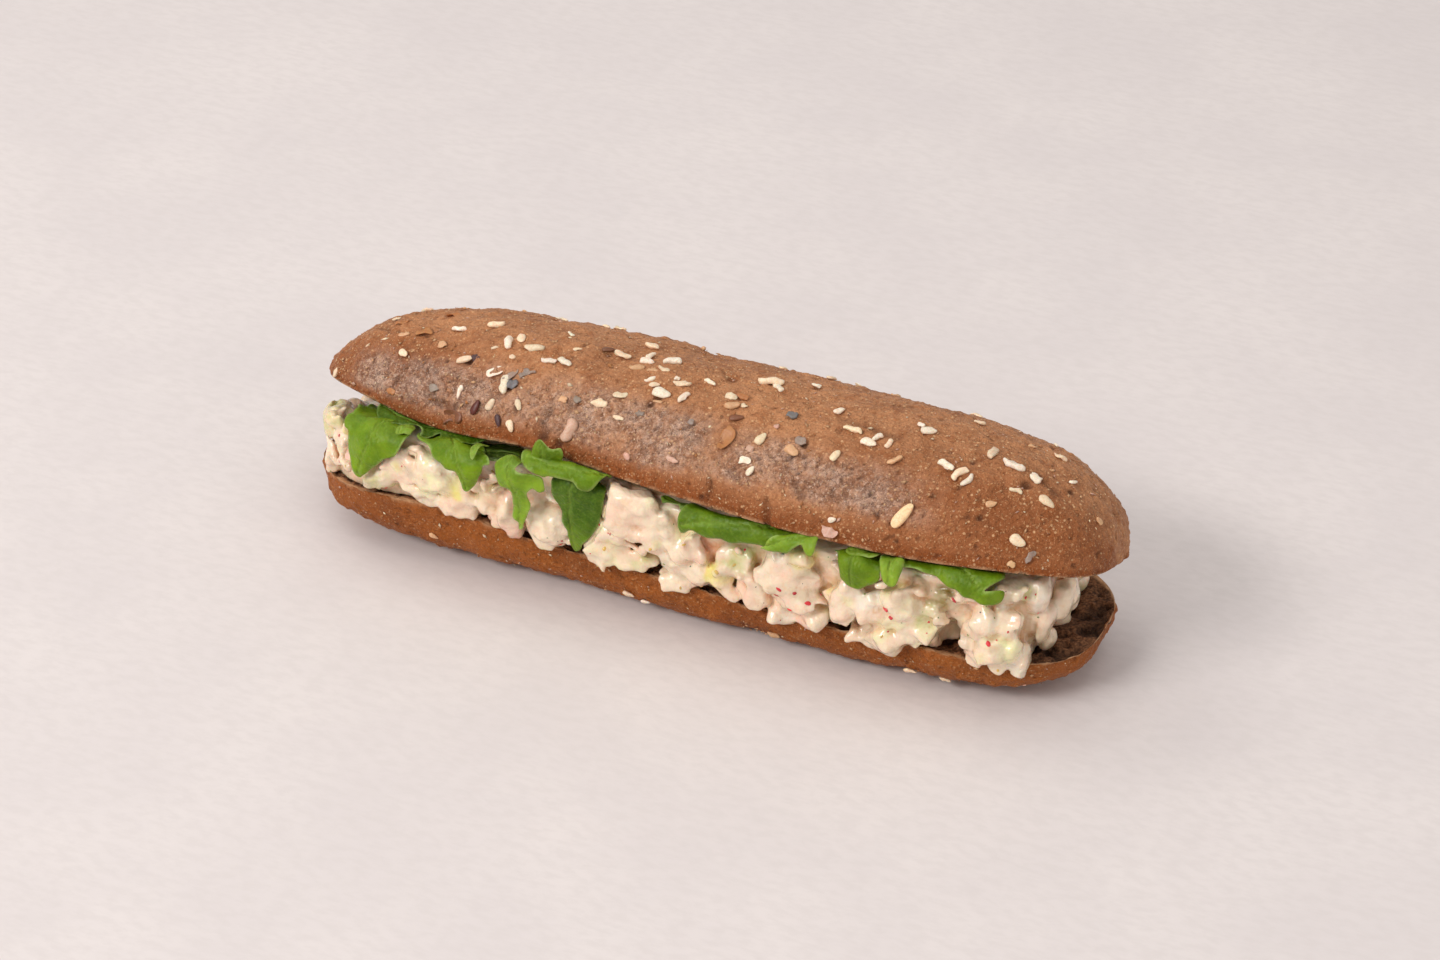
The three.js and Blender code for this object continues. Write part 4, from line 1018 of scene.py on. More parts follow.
def bran(name, count, degrees, surface, facing, material):
    """Fine flecks of bran and broken grain strewn over a crust, as one piece."""
    random = np.random.RandomState(23)
    u = random.uniform(-0.97, 0.97, count)
    around = np.radians(random.uniform(*degrees, count))
    at, along, sideways, normal = seats(surface, u, around, 0.004)
    turn = random.uniform(0, math.pi, count)[:, None]
    out = facing * normal
    x_axis = np.cos(turn) * along + np.sin(turn) * facing * sideways
    axes = np.stack((x_axis, np.cross(out, x_axis), out), 1)
    length = random.gamma(2.2, 0.11, count) + 0.12
    halves = np.stack((length, length * random.uniform(0.3, 0.7, count), length * 0.22 + 0.05), 1)
    shape = np.array(FLECK_POINTS) * halves[:, None] * random.uniform(0.6, 1.3, (count, 6, 1))
    points = at[:, None] + (shape + (0, 0, 0.06)) @ axes
    points[..., 2] = np.maximum(0, points[..., 2])
    palette = np.array([TINTS[tint] for tint in FLECK_TINTS])
    shades = palette[random.randint(0, len(palette), count)] * random.uniform(0.7, 1, (count, 1))
    return joined(name, points, np.array(FLECK_FACES), shades, material)


# Salad

LUMP_SOFTNESS = 1.25
SALAD_TINTS = {
    "cream": srgb(250, 226, 196), "pale": srgb(251, 235, 213), "chicken": srgb(247, 213, 184),
    "tan": srgb(218, 170, 126), "brown": srgb(156, 104, 66), "pink": srgb(246, 196, 172),
    "pickle": srgb(196, 198, 116), "slice": srgb(238, 232, 176), "yellow": srgb(246, 230, 128),
    "white": srgb(250, 245, 226), "olive": srgb(150, 130, 66), "dull": srgb(214, 192, 160),
}
# Pieces that show at the front: x (mm), height between the halves (0 to 1), distance out from the
# heap's outline (mm), half sizes along, out and up (mm), turn (degrees) and tint
FRONT_PIECES = (
    (-93, 0.24, 0.4, 2.8, 3, 4.8, 5, "chicken"), (-91, 0.7, -1, 2.4, 2.4, 2, 0, "brown"),
    (-86, 0.46, -1.5, 4, 3, 5, 0, "cream"), (-75.5, 0.22, 0.8, 5.6, 3, 2.9, 28, "pickle"),
    (-68.5, 0.38, 0, 4, 3.4, 5.8, -20, "chicken"), (-60, 0.48, 0.8, 5.6, 3.4, 5.8, 0, "slice"),
    (-54.5, 0.34, 0.8, 3, 2.6, 3.6, 0, "yellow"), (-63.5, 0.12, 0.6, 6, 3.2, 3, -10, "cream"),
    (-54.5, 0.15, 0.6, 4.6, 3.2, 3.8, -8, "chicken"), (-46, 0.38, 0, 4, 3, 5, 0, "tan"),
    (-45, 0.1, 1, 2.8, 2.8, 3, 0, "pink"), (-40.6, 0.2, 1.6, 3.4, 3.2, 7.4, -6, "pink"),
    (-32, 0.26, 1.6, 5.6, 4, 7.4, 8, "cream"), (-27, 0.3, 0.4, 3.6, 3, 5, 0, "cream"),
    (-8.6, 0.68, 1.4, 7.4, 4.4, 7, -10, "chicken"), (-16, 0.22, 1.9, 3, 3, 6.6, 16, "cream"),
    (-8, 0.16, 1, 6.4, 3.2, 2.7, -4, "pickle"), (-12, 0.42, 0.8, 4.5, 3.4, 4.6, 0, "cream"),
    (0, 0.54, 0.5, 4.6, 3.4, 5, 12, "cream"), (3.8, 0.34, 1, 4.6, 3.4, 5.6, -14, "pale"),
    (2.5, 0.05, 2, 4.4, 2.6, 2.6, -12, "cream"), (8.5, 0.22, 1.2, 4.6, 3.2, 4.4, 0, "cream"),
    (10.5, 0.46, 0.6, 2.4, 2.6, 3.4, 10, "pink"), (15, 0.27, 1.2, 3.6, 3, 4.4, 8, "yellow"),
    (20, 0.48, 0, 5, 3.2, 5, 0, "pickle"), (16, 0.1, 1.2, 4.8, 2.8, 2.8, -10, "chicken"),
    (23.4, 0.26, 1.6, 4, 3.4, 5.2, 24, "pink"), (31.6, 0.5, 1.2, 4.4, 3.8, 5.8, 14, "cream"),
    (37.6, 0.42, 1.7, 4, 3.6, 6, -16, "pale"), (34, 0.2, 1.8, 5.4, 3.4, 4.6, 0, "chicken"),
    (37, 0.7, 0.8, 3, 2.6, 3, 0, "yellow"), (31.5, 0.07, 2.5, 4.2, 2.9, 3.6, 0, "pale"),
    (38, 0.12, 1.8, 4.4, 3.2, 3.8, -8, "pink"), (48, 0.42, 0.6, 4, 3.4, 6.6, -14, "white"),
    (55.6, 0.42, 1.2, 4.8, 3.8, 5.2, 14, "pale"), (61.6, 0.38, 1.6, 4.4, 3.6, 5.6, -18, "cream"),
    (58.4, 0.14, 2, 5.6, 3.6, 4.2, 0, "chicken"), (57, 0.03, 2.6, 5.6, 3, 3.6, 0, "cream"),
    (64.5, 0.16, 1.4, 4.6, 3.6, 4.4, 10, "cream"), (62, 0.52, 0.4, 5, 3.4, 4, 0, "slice"),
    (67, 0.42, -0.6, 3.6, 3.2, 5, 0, "pickle"), (71.6, 0.6, -1.6, 4, 3, 3.6, 0, "olive"),
    (66, 0.66, -0.6, 4, 3, 3, 0, "tan"), (49.5, 0.04, 1.4, 2.6, 2.4, 2.4, 20, "tan"),
    (80.4, 0.42, 1, 4.6, 3.8, 5, 12, "cream"), (86.4, 0.42, 1.1, 4.6, 3.6, 4.6, -14, "cream"),
    (83.6, 0.22, 1.6, 6.6, 3.4, 4, 0, "slice"), (79.8, 0.06, 2.2, 2.8, 2.4, 3.6, 0, "chicken"),
    (84.6, 0.02, 2, 1.3, 1.5, 2.2, 0, "cream"), (88, 0.08, 2.1, 3.8, 2.8, 4.2, 12, "pale"),
    (91, 0.3, 0.6, 3, 3.4, 4.6, 0, "cream"), (85, 0.68, -0.8, 4, 3, 3.4, 0, "white"),
    (88.6, 0.72, -0.6, 2.4, 2.4, 2.4, 0, "pickle"), (90.8, 0.62, 0, 2.4, 2.4, 3, 20, "brown"),
    (78, 0.68, -0.6, 3.6, 3, 3.4, 0, "pink"),
)
# Round the two ends: x, y, height between the halves, half sizes, turn and tint
END_PIECES = (
    (-96.6, -12, 0.5, 3.6, 5, 4.4, 0, "pickle"), (-98, -4, 0.34, 3.2, 4.6, 4, 0, "olive"),
    (-96, 6, 0.28, 3, 4.6, 3.4, 0, "cream"), (-93, 15, 0.28, 3.4, 4, 3, 0, "chicken"),
    (91, -15.5, 0.7, 3.4, 4.6, 4.2, 10, "pale"), (91.6, -14, 0.38, 3, 4.4, 4.6, -12, "cream"),
    (94, -6, 0.5, 3, 4.8, 5.4, 0, "cream"), (90.5, 3, 0.3, 2.8, 4.4, 4.6, 0, "pink"),
    (88, 11, 0.35, 3.4, 4.2, 4, 0, "cream"), (92.4, -12, 0.14, 2.4, 2.6, 3, 0, "cream"),
    (84, 18, 0.45, 4, 3.8, 4, 0, "chicken"), (91.6, 6.5, 0.62, 3, 4, 4, 0, "slice"),
    (90, 14.5, 0.18, 3, 3.6, 3.4, 0, "cream"), (92, -2, 0.14, 2.6, 3.6, 2.8, 0, "chicken"),
    (90, 13.5, 0.7, 3, 3.4, 3, 15, "tan"),
)
# Gaps between the lumps at the front: x (mm), height between the halves, half sizes along, in and up (mm)
HEAP_GAPS = (
    (72.6, 0.08, 4.2, 11, 7.5), (45.4, 0.02, 2.6, 5, 3.6), (26.3, 0, 2, 5, 3), (-2.6, -0.02, 4, 4, 2.2),
    (-24.6, 0, 2.4, 4, 2.4), (-48, 0, 2, 4, 2),
)
# Pieces drawn for the back, and small ones for both sides: how many, and their half sizes (mm)
BACK_PIECES = 30
BACK_PIECE_SIZES = (2.6, 5)
SMALL_PIECES = 190
SMALL_PIECE_SIZES = (0.8, 2.1)
FACETS = 6
# How boxy a piece is, and how sharp the edges of its flat cuts
BOXINESS = 2.6
CUT_SHARPNESS = 8
# The grid on which the heap is worked out: lowest corner (mm) and number of voxels
SALAD_CORNER = np.array((-106.0, -38.0, 6.0))
SALAD_CELLS = (410, 148, 78)
# Fine unevenness of the heap's surface: height, size (mm) and seed of each layer
SALAD_RIPPLES = ((0.22, 2.4, 6), (0.1, 1.3, 7))
SMALL_TINTS = (
    "cream", "pale", "chicken", "cream", "pink", "tan", "chicken", "pickle", "cream", "yellow", "pink",
)
# The room free of salad that starts at each leaf: radius, and steps outwards (mm)
LEAF_ROOM_RADIUS = 0.9
LEAF_ROOM_STEPS = (0.55, 1.3, 2.1, 2.9, 3.7, 4.5)
# Hollows are found within so many voxels, and their colour is multiplied by this painted shade
HOLLOW_STEPS = (-4, -2, 0, 2, 4)
HOLLOW_SHADE = (0.8, 0.62, 0.45)
# Patches of colour in the dressing: tint, size (mm), seed, how much of the noise they take, and strength
SALAD_PATCHES = (
    ("chicken", 6, 2, 0.1, 0.7), ("slice", 5, 7, 0.4, 0.6), ("dull", 4.2, 3, 0.2, 0.65),
    ("pink", 3, 1, 0.4, 0.3),
)


def salad_pieces():
    """Centre, half sizes, turn, tint and flat cuts of every piece of the heap."""
    pieces = []

    def add(x, y, up, halves, turn, tint):
        pieces.append(((x, y, heap_height(x, y, up)), halves, turn, tint))

    for x, up, out, along, deep, tall, turn, tint in FRONT_PIECES:
        add(x, heap_edge(x, -1, up) - out + deep * 0.45, up, (along, deep, tall), turn, tint)
    for x, y, up, along, deep, tall, turn, tint in END_PIECES:
        add(x, y, up, (along, deep, tall), turn, tint)
    random = np.random.RandomState(31)
    for i in range(BACK_PIECES):
        x = -88 + 172 * (i + random.uniform(0.2, 0.8)) / BACK_PIECES
        up = random.uniform(0.15, 0.8)
        halves = random.uniform(*BACK_PIECE_SIZES, 3)
        tint = SMALL_TINTS[random.randint(len(SMALL_TINTS))]
        add(x, heap_edge(x, 1, up) - 1.6, up, halves, random.uniform(-20, 20), tint)
    for i in range(SMALL_PIECES):
        side = -1 if i % 3 else 1
        x = random.uniform(-95, 90)
        up = random.uniform(0.03, 0.78)
        y = heap_edge(x, side, up) + side * random.uniform(-0.8, 0.9)
        halves = random.uniform(*SMALL_PIECE_SIZES, 3)
        tint = SMALL_TINTS[random.randint(len(SMALL_TINTS))]
        add(x, y, up, halves, random.uniform(-60, 60), tint)
    cuts = random.normal(size=(len(pieces), FACETS, 3))
    cuts /= np.linalg.norm(cuts, axis=-1, keepdims=True) * random.uniform(0.72, 1, (len(pieces), FACETS, 1))
    return [piece + (own,) for piece, own in zip(pieces, cuts)]


def piece_distance(points, centre, halves, turn, cuts):
    """Distance to a slightly boxy ellipsoid with flat cuts."""
    offset = points - np.array(centre)
    cosine, sine = math.cos(math.radians(turn)), math.sin(math.radians(turn))
    x = offset[..., 0] * cosine + offset[..., 2] * sine
    z = -offset[..., 0] * sine + offset[..., 2] * cosine
    parts = stacked(x, offset[..., 1], z) / np.array(halves)
    size = np.sum(np.abs(parts) ** BOXINESS, -1) ** (CUT_SHARPNESS / BOXINESS)
    flat = np.maximum(0, np.max(parts @ cuts.T, -1)) ** CUT_SHARPNESS
    return ((size + flat) ** (1 / CUT_SHARPNESS) - 1) * float(np.min(halves)) * 1.1


def smooth_union(first, second, soft):
    part = np.clip(0.5 + 0.5 * (second - first) / soft, 0, 1)
    return second + (first - second) * part - soft * part * (1 - part)


def common(field, *others):
    """Signed distance of what all the fields hold in common."""
    for other in others:
        field = np.maximum(field, other)
    return field


def bread_distances(points):
    """Distances to the two halves of the roll, as far as the salad needs them."""
    x, y, z = points[..., 0], points[..., 1], points[..., 2]
    u = np.clip(x / BASE_HALF_LENGTH, -1, 1)
    offset = y - base_middle(u)
    out = np.clip((base_rim(u) - z) / np.maximum(base_depth(u), 1e-3), 0, 1)
    reach = base_reach(u, offset) * (1 - out ** BASE_SECTION) ** (1 / BASE_SECTION)
    base = np.maximum(z - base_cut_height(x, y), np.abs(offset) - reach)
    own = (points - LID_PLACE) @ LID_TURN
    lid_u = np.clip(own[..., 0] / LID_HALF_LENGTH, -1, 1)
    width = lid_reach(lid_u, own[..., 1])
    across = np.clip(own[..., 1] / np.maximum(width, 1e-3), -1, 1)
    lid = np.maximum(lid_face(lid_u, across) - own[..., 2], np.abs(own[..., 1]) - width)
    return base, lid


def core_field(x, y, z):
    """Signed distance of the heap's bare core."""
    base = base_cut_height(x[..., :1], y[..., :1])
    lid = lid_cut_height(x[..., :1], y[..., :1])
    gap = np.maximum(lid - base, 1)
    up = np.clip((z - base) / gap, 0, 1)
    recess = CORE_INSET + TOP_RECESS * smoothstep(0.78, 0.96, up)
    front = heap_edge(x, -1, up) + recess
    back = heap_edge(x, 1, up) - recess
    ends = np.abs(x - HEAP_MIDDLE) - HEAP_HALF_LENGTH + 2
    ceiling = LEFT_CEILING + (1.2 - LEFT_CEILING) * smoothstep(-84, -64, x)
    return common(front - y, y - back, base - z, z - lid, ends, (up - ceiling) * gap)


def rippled(points, near):
    """The points shifted where they are near the heap, which makes its pieces uneven."""
    shifted = points.copy()
    place = points[near]
    for axis in range(3):
        shifted[..., axis][near] += noise_sum(place, ((1.7, 5.5, axis), (0.85, 2.6, axis + 3)))
    return shifted


def voxels_round(centre, reach):
    """Block of the grid round a point."""
    start = ((np.array(centre) - reach - SALAD_CORNER) / SALAD_VOXEL).astype(int)
    stop = ((np.array(centre) + reach - SALAD_CORNER) / SALAD_VOXEL).astype(int) + 1
    return tuple(slice(max(0, a), b) for a, b in zip(start, stop))


def salad_field(pieces):
    """Signed distance of the heap on the grid of voxels."""
    axes = [low + SALAD_VOXEL * np.arange(cells) for low, cells in zip(SALAD_CORNER, SALAD_CELLS)]
    grid = np.meshgrid(*axes, indexing="ij")
    points = stacked(*grid)
    field = core_field(*grid)
    shifted = rippled(points, field < 9)
    for centre, halves, turn, _, cuts in pieces:
        block = voxels_round(centre, max(halves) + 3.5)
        distance = piece_distance(shifted[block], centre, halves, turn, cuts)
        field[block] = smooth_union(field[block], distance, LUMP_SOFTNESS)
    for x, up, *halves in HEAP_GAPS:
        centre = (x, heap_edge(x, -1, up), heap_height(x, heap_edge(x, -1, 0), up))
        size = np.linalg.norm((shifted - np.array(centre)) / np.array(halves), axis=-1)
        field = -smooth_union(-field, (size - 1) * min(halves), LUMP_SOFTNESS)
    near = np.abs(field) < 2.5
    field[near] += noise_sum(points[near], SALAD_RIPPLES)
    base_distance, lid_distance = bread_distances(points)
    return common(field, 0.1 - base_distance, 0.15 - lid_distance)


def hollows(field, points):
    """How far each point of the heap's surface lies in the hollows, from 0 to 1, which sets the painted shade
    there.
    """
    around = field
    for axis in range(3):
        around = sum(np.roll(around, step, axis) for step in HOLLOW_STEPS) / len(HOLLOW_STEPS)
    nearest = tuple(np.rint((points - SALAD_CORNER) / SALAD_VOXEL).astype(int).T)
    return smoothstep(0.08, 0.8, (field - around)[nearest])


def salad_tints(points, hollow, pieces):
    """Colour of each point: that of the pieces nearest to it, with soft borders, and painted shade in
    hollows.
    """
    total = np.full((len(points), 3), 0.02) * SALAD_TINTS["cream"]
    weights = np.full(len(points), 0.02)
    shifted = points + stacked(*(0.8 * noise(points, 2.6, axis) for axis in range(3)))
    for centre, halves, turn, tint, cuts in pieces:
        close = np.abs(points - np.array(centre)).max(1) < max(halves) + 3
        if not close.any():
            continue
        distance = piece_distance(shifted[close], centre, halves, turn, cuts)
        weight = np.exp(-np.clip(distance + 0.8, 0, 8) / 0.3)
        total[close] += weight[:, None] * SALAD_TINTS[tint]
        weights[close] += weight
    tints = total / weights[:, None]
    pale = smoothstep(0.1, 0.4, tints[:, 2])[:, None]
    coat = 0.3 * smoothstep(-0.25, 0.35, noise_sum(points, ((1, 3.4, 5), (0.5, 1.3, 6))))[:, None]
    tints = tints * (1 - coat) + coat * SALAD_TINTS["cream"]
    for tint, wavelength, seed, low, most in SALAD_PATCHES:
        part = most * pale * smoothstep(low, low + 0.3, noise(points, wavelength, seed))[:, None]
        tints = tints * (1 - part) + part * SALAD_TINTS[tint]
    return tints * (1 - hollow[:, None] * (1 - np.array(HOLLOW_SHADE)))


def leaf_room(sheets):
    """How far each voxel lies inside the room that the leaves keep free, from them outwards."""
    room = np.full(SALAD_CELLS, -9.0)
    for points, normals in sheets:
        for out in LEAF_ROOM_STEPS:
            at = (points + normals * out - SALAD_CORNER) / SALAD_VOXEL
            nearest = np.rint(at).astype(int)
            for step in np.ndindex(5, 5, 5):
                voxel = np.clip(nearest + np.array(step) - 2, 0, np.array(SALAD_CELLS) - 1)
                depth = LEAF_ROOM_RADIUS - np.linalg.norm(at - voxel, axis=1) * SALAD_VOXEL
                np.maximum.at(room, tuple(voxel.T), depth)
    return room


def salad_heap(material, sheets):
    pieces = salad_pieces()
    field = np.maximum(salad_field(pieces), leaf_room(sheets))
    grid = openvdb.FloatGrid(5.0)
    grid.copyFromArray(field.astype(np.float32))
    points, triangles, quads = grid.convertToPolygons(isovalue=0.0, adaptivity=0.0)
    points = points * SALAD_VOXEL + SALAD_CORNER
    faces = quads[:, ::-1].tolist() + triangles[:, ::-1].tolist()
    thing = mesh_object("salad_heap", points, faces, [material])
    point_values(thing, "tint", salad_tints(points, hollows(field, points), pieces))
    return thing


# Leaves

# Tints of the blades; the dark tint is painted shade
LEAF_TINTS = {
    "fresh": srgb(118, 148, 14), "light": srgb(140, 170, 44), "deep": srgb(72, 104, 6),
    "dark": srgb(44, 62, 6), "middle": srgb(98, 128, 8),
}
# Blades: leaf, side, layer, belly (mm), tint, outline and midrib, both as (x, way down the sheet) in mm.
# A blade that stands up in front of the upper crust is marked upright.
BLADES = (
    ("leaf_a", -1, 1, 0.8, "fresh",
     ((-84.6, -9.6), (-85.4, -7.6), (-86, -5), (-84.7, -2.7), (-84.4, 0), (-85.2, 1.4), (-85.4, 2.8),
      (-84.8, 3.9), (-83.4, 4.5), (-83.5, 7), (-83.3, 9.2), (-82.3, 10.6), (-81.5, 12.6), (-80.6, 15),
      (-79.5, 15.5), (-78.5, 14.5), (-77.4, 13.4), (-76.2, 12), (-74.6, 10.5), (-73.6, 9.4), (-72.2, 7.8),
      (-71, 7.4), (-69.6, 6.5), (-68.4, 4.8), (-67.6, 3), (-66.9, 1), (-67, -0.6), (-69.5, -3), (-73, -6),
      (-76, -9), (-79, -11), (-82, -11)),
     ((-74, -2), (-75.5, 1.4), (-76.3, 4.6), (-77.7, 8), (-79.6, 14.6))),
    ("leaf_a", -1, 2, 0.5, "light",
     ((-69.8, -1), (-70.1, 0.8), (-69.9, 2.2), (-69, 2.2), (-67.8, 1.7), (-66.2, 1.5), (-65.9, -0.6),
      (-67, -2.2), (-68.8, -2)),
     ((-67, -1.8), (-69, 1.4))),
    ("leaf_b", -1, 2, 0, "deep",
     ((-83, -11.6), (-81.4, -9), (-79.6, -4), (-77.6, -1.4), (-76.6, -0.4), (-75.6, 0.1), (-74.4, 0.1),
      (-73, -0.3), (-71.9, -1), (-70.6, -1.7), (-68.7, -2.6), (-67.2, -3.8), (-66.2, -3.7), (-65.2, -2.6),
      (-64.6, -0.4), (-63.2, -0.3), (-62.2, -1.1), (-61.4, -2.9), (-60.4, -3.5), (-59.7, -2.2),
      (-59.2, -0.4), (-58.4, 0.2), (-57.1, -0.4), (-55.8, -1.7), (-54.4, -1.6), (-53, -0.5), (-52, -0.9),
      (-50.8, -3), (-49, -5), (-46, -7), (-46, -12), (-56, -13), (-70, -13)),
     ((-80, -7), (-72, -4.6), (-64, -5.4), (-56, -5.6), (-48, -8))),
    # Painted shade: a dark blade that fills the shadowed gap under the upper half
    ("leaf_b", -1, 0, 0, "dark",
     ((-52, -2), (-50, 0), (-46, 0.6), (-42, 0.4), (-39, -0.4), (-37, -2.6), (-38, -8), (-44, -10),
      (-51, -8)),
     ((-51, -4), (-38, -3))),
    ("leaf_c", -1, 1, 0.9, "fresh",
     ((-66.4, -4), (-65.6, -1.6), (-64.6, 0.2), (-62.9, 0.8), (-61.4, 1.2), (-60, 2), (-59.1, 3.3),
      (-58.3, 4.1), (-56.4, 4.6), (-54.6, 5.1), (-53.2, 5.6), (-51.9, 6), (-51.1, 7.3), (-50.6, 8.9),
      (-50.2, 10.7), (-49.4, 11.7), (-48.6, 11.4), (-47.5, 10.2), (-46.5, 8.5), (-45.8, 7), (-45.2, 5.6),
      (-44.9, 4), (-43.1, 3.4), (-43.8, 2), (-45.6, 0.4), (-47, -2.2), (-49.6, -5.5), (-54, -7),
      (-60, -7.5), (-65, -7)),
     ((-57, -4.6), (-55.6, -1.4), (-53.6, 0.8), (-51.6, 3.2), (-49.8, 6), (-49.4, 11))),
    ("leaf_c", -1, 2, 0.9, "light",
     ((-48.3, 2.6), (-48.6, 1.6), (-47.9, 0.7), (-47, -0.6), (-46.3, -1.6), (-45.6, -1.8), (-45.9, 0),
      (-46.3, 1.4), (-46.6, 3.2), (-47.1, 4.2), (-47.8, 3.7)),
     ((-46, -1), (-47.2, 1.6), (-47.2, 3.8))),
    ("leaf_d", -1, 1, 1.1, "light",
     ((-42, 3), (-41.7, 4.6), (-40.4, 8), (-38.7, 8.7), (-37.3, 9.4), (-37, 11.8), (-37.3, 14.6),
      (-36.9, 16.8), (-35.8, 18.6), (-36.4, 20.4), (-36.4, 21.8), (-35.6, 21.6), (-34.4, 19), (-33.3, 16.4),
      (-32.2, 13.8), (-32.1, 12.2), (-32.6, 10.6), (-32.4, 8.6), (-31, 7.2), (-29.4, 8.1), (-28, 7),
      (-28.6, 4.4), (-31, 3.8), (-34, 3.9), (-35.8, 3.4), (-34.8, 1.6), (-36.4, 0), (-39.4, 0.6),
      (-41, 1.6)),
     ((-38.4, 1.4), (-36.6, 6), (-35, 11), (-35, 16), (-35.8, 21))),
    ("leaf_e", -1, 0, 0.9, "deep",
     ((-26.9, 2), (-26.9, 5), (-26.9, 8.3), (-24.8, 10.8), (-24.4, 14), (-23.8, 16.2), (-23.8, 18.8),
      (-23.9, 22.3), (-23.4, 24), (-22.6, 24.3), (-21.1, 22.6), (-19.9, 20), (-17.9, 17.3), (-16.2, 14.3),
      (-14.9, 11.2), (-14.4, 8.9), (-13.9, 6.7), (-13.3, 2.5), (-14, -1), (-18, -3), (-24, -2.6)),
     ((-20.5, -2), (-21.6, 5), (-22.2, 14), (-22.6, 23.4))),
    ("leaf_f", -1, 2, 1.2, "fresh",
     ((-34.8, 0.3), (-34, 3), (-31, 4.4), (-27.8, 4.9), (-26.2, 4.4), (-23, 4.2), (-19.9, 4.1), (-19, 5.1),
      (-17.7, 5.6), (-16.2, 5), (-14.8, 3.6), (-14, 2), (-13.3, 0.8), (-12.4, -0.9), (-14, -1.8), (-18, -1),
      (-22, -0.6), (-26, -0.8), (-30, -0.4), (-32, 0.2)),
     ((-33.6, 1.8), (-27, 2.4), (-20, 2.2), (-13.4, 0.2))),
    ("leaf_f", -1, "upright", 0.5, "fresh",
     ((-32.4, 1.4), (-32.2, -1), (-31.6, -3.5), (-30.5, -5), (-29.2, -5.4), (-28.2, -4.4), (-27.4, -3.5),
      (-26.2, -3.5), (-25, -3.9), (-24.2, -2.6), (-24.8, -0.4), (-26.6, 1.6), (-29.6, 2)),
     ((-29.4, 1.2), (-29, -2), (-29.6, -4.6))),
    ("leaf_g", -1, 0, 0.3, "deep",
     ((0.4, -1.5), (1.6, 0.5), (3.4, 0.2), (5.4, 0), (6.9, 0.9), (8.2, -1.4), (6.4, -3), (1.6, -3)),
     ((1.6, -1.2), (7, -0.8))),
    ("leaf_h", -1, 1, 0.8, "middle",
     ((7.2, 2.6), (7.2, 5.2), (7.6, 7.6), (8.8, 7), (10, 5.5), (11.3, 4.9), (12.4, 6), (14, 6.5), (17, 6.5),
      (19.4, 6.4), (23.2, 5.3), (27, 4.7), (29.3, 5), (31, 3), (33.4, 1), (36.9, -0.6), (34, -3.4),
      (26, -3.6), (18, -3), (10.8, -1.9), (8.2, -0.2)),
     ((8, 4.6), (12.6, 3.2), (19, 2), (26.4, 0.8), (34, -1))),
    ("leaf_i", -1, 2, 0.7, "light",
     ((28.6, 6.3), (29.7, 5.4), (30.4, 4), (32, 2.6), (34.3, 1.2), (36.6, 0.3), (39.4, -1.2), (41.4, -1.3),
      (42, -0.2), (42, 1.5), (42, 4.2), (41, 5.2), (40, 4.8), (38.6, 3.4), (36.6, 4.5), (35.1, 6),
      (33, 6.1), (31, 6.3)),
     ((29, 6), (33.6, 3.8), (38, 1.8), (41.4, 0.4))),
    ("leaf_j", -1, 0, 1.0, "fresh",
     ((45, -2), (46.6, 1), (47.7, 4.6), (48, 6.6), (49.4, 8.2), (50.9, 8.5), (52.8, 8.2), (54.7, 6.8),
      (56.6, 5.5), (57.3, 4.4), (57.4, 1), (56.6, -2.4), (51, -3.6)),
     ((50.8, -3), (51, 2), (50.8, 7.6))),
    ("leaf_j", -1, 1, 0.6, "light",
     ((48.4, 0.8), (50, 1.6), (52.4, 1.3), (54.8, 1.5), (56.6, 0.6), (56, -1), (52, -1.6), (49, -1)),
     ((49.4, 0.4), (55.6, 0))),
    ("leaf_k", -1, 1, 0.8, "fresh",
     ((57.2, 0.5), (57.8, 2), (60, 2.9), (63, 1.9), (64.8, 1.6), (67.9, 2), (70.5, 2), (72.3, 3.1),
      (74.6, 4.1), (76.4, 4.5), (77.6, 5.8), (80, 7), (82.9, 7.3), (85.2, 7.2), (86.2, 5.7), (85.8, 3.9),
      (83.6, 3.8), (82.4, 3.9), (83, 3.3), (85.2, 1.7), (85.5, 0.7), (84.8, -0.7), (84, -2.2), (76, -3.6),
      (68, -3.4), (60, -2.4), (57.6, -1)),
     ((58.4, 0.4), (64, -0.8), (69.5, -1.3), (76.4, 0.4), (82.2, 3.8))),
    ("leaf_l", -1, 2, 1.0, "light",
     ((57.2, 0.7), (57.5, 2.4), (58.6, 4.3), (59.7, 6.3), (61.2, 7.3), (62.7, 6.6), (63.2, 4), (63.2, 1.8),
      (61.6, 0.4), (59, 0)),
     ((60.2, 0.6), (61, 6.6))),
    ("leaf_m", 1, 1, 0.5, "fresh",
     ((-62, -4), (-63.4, 0), (-62, 3), (-63.6, 5), (-61, 7.6), (-59, 9), (-57.6, 10.8), (-56.2, 9.4),
      (-53.4, 7.4), (-51, 6.4), (-52.6, 3.6), (-50.4, 0.6), (-51.6, -4)),
     ((-56.6, -4), (-57.4, 4), (-57.4, 10))),
    ("leaf_n", 1, 1, 0.5, "deep",
     ((0.4, -4), (-1.4, -0.6), (0, 2), (-3.4, 4), (-4.8, 6.8), (-4, 9), (-1.4, 9.4), (2, 7.6), (5.6, 6),
      (8.4, 3), (9.8, 0), (10.6, -4)),
     ((5.6, -4), (3.4, 2), (-2.6, 8.6))),
    ("leaf_o", 1, 1, 0.5, "light",
     ((47.4, -4), (48.4, 0), (50.8, 2.4), (53, 5.4), (57, 7.4), (60.4, 8.8), (62, 7.6), (60.8, 4.6),
      (61.8, 1.8), (59.4, -0.8), (58, -4)),
     ((52.4, -4), (54.6, 1.6), (60.4, 7.8))),
)
# How far a blade that stands up is in front of the heap (mm), and what its rim has lost of its thickness
UPRIGHT_GAP = 1.6
RIM_THINNING = 0.5
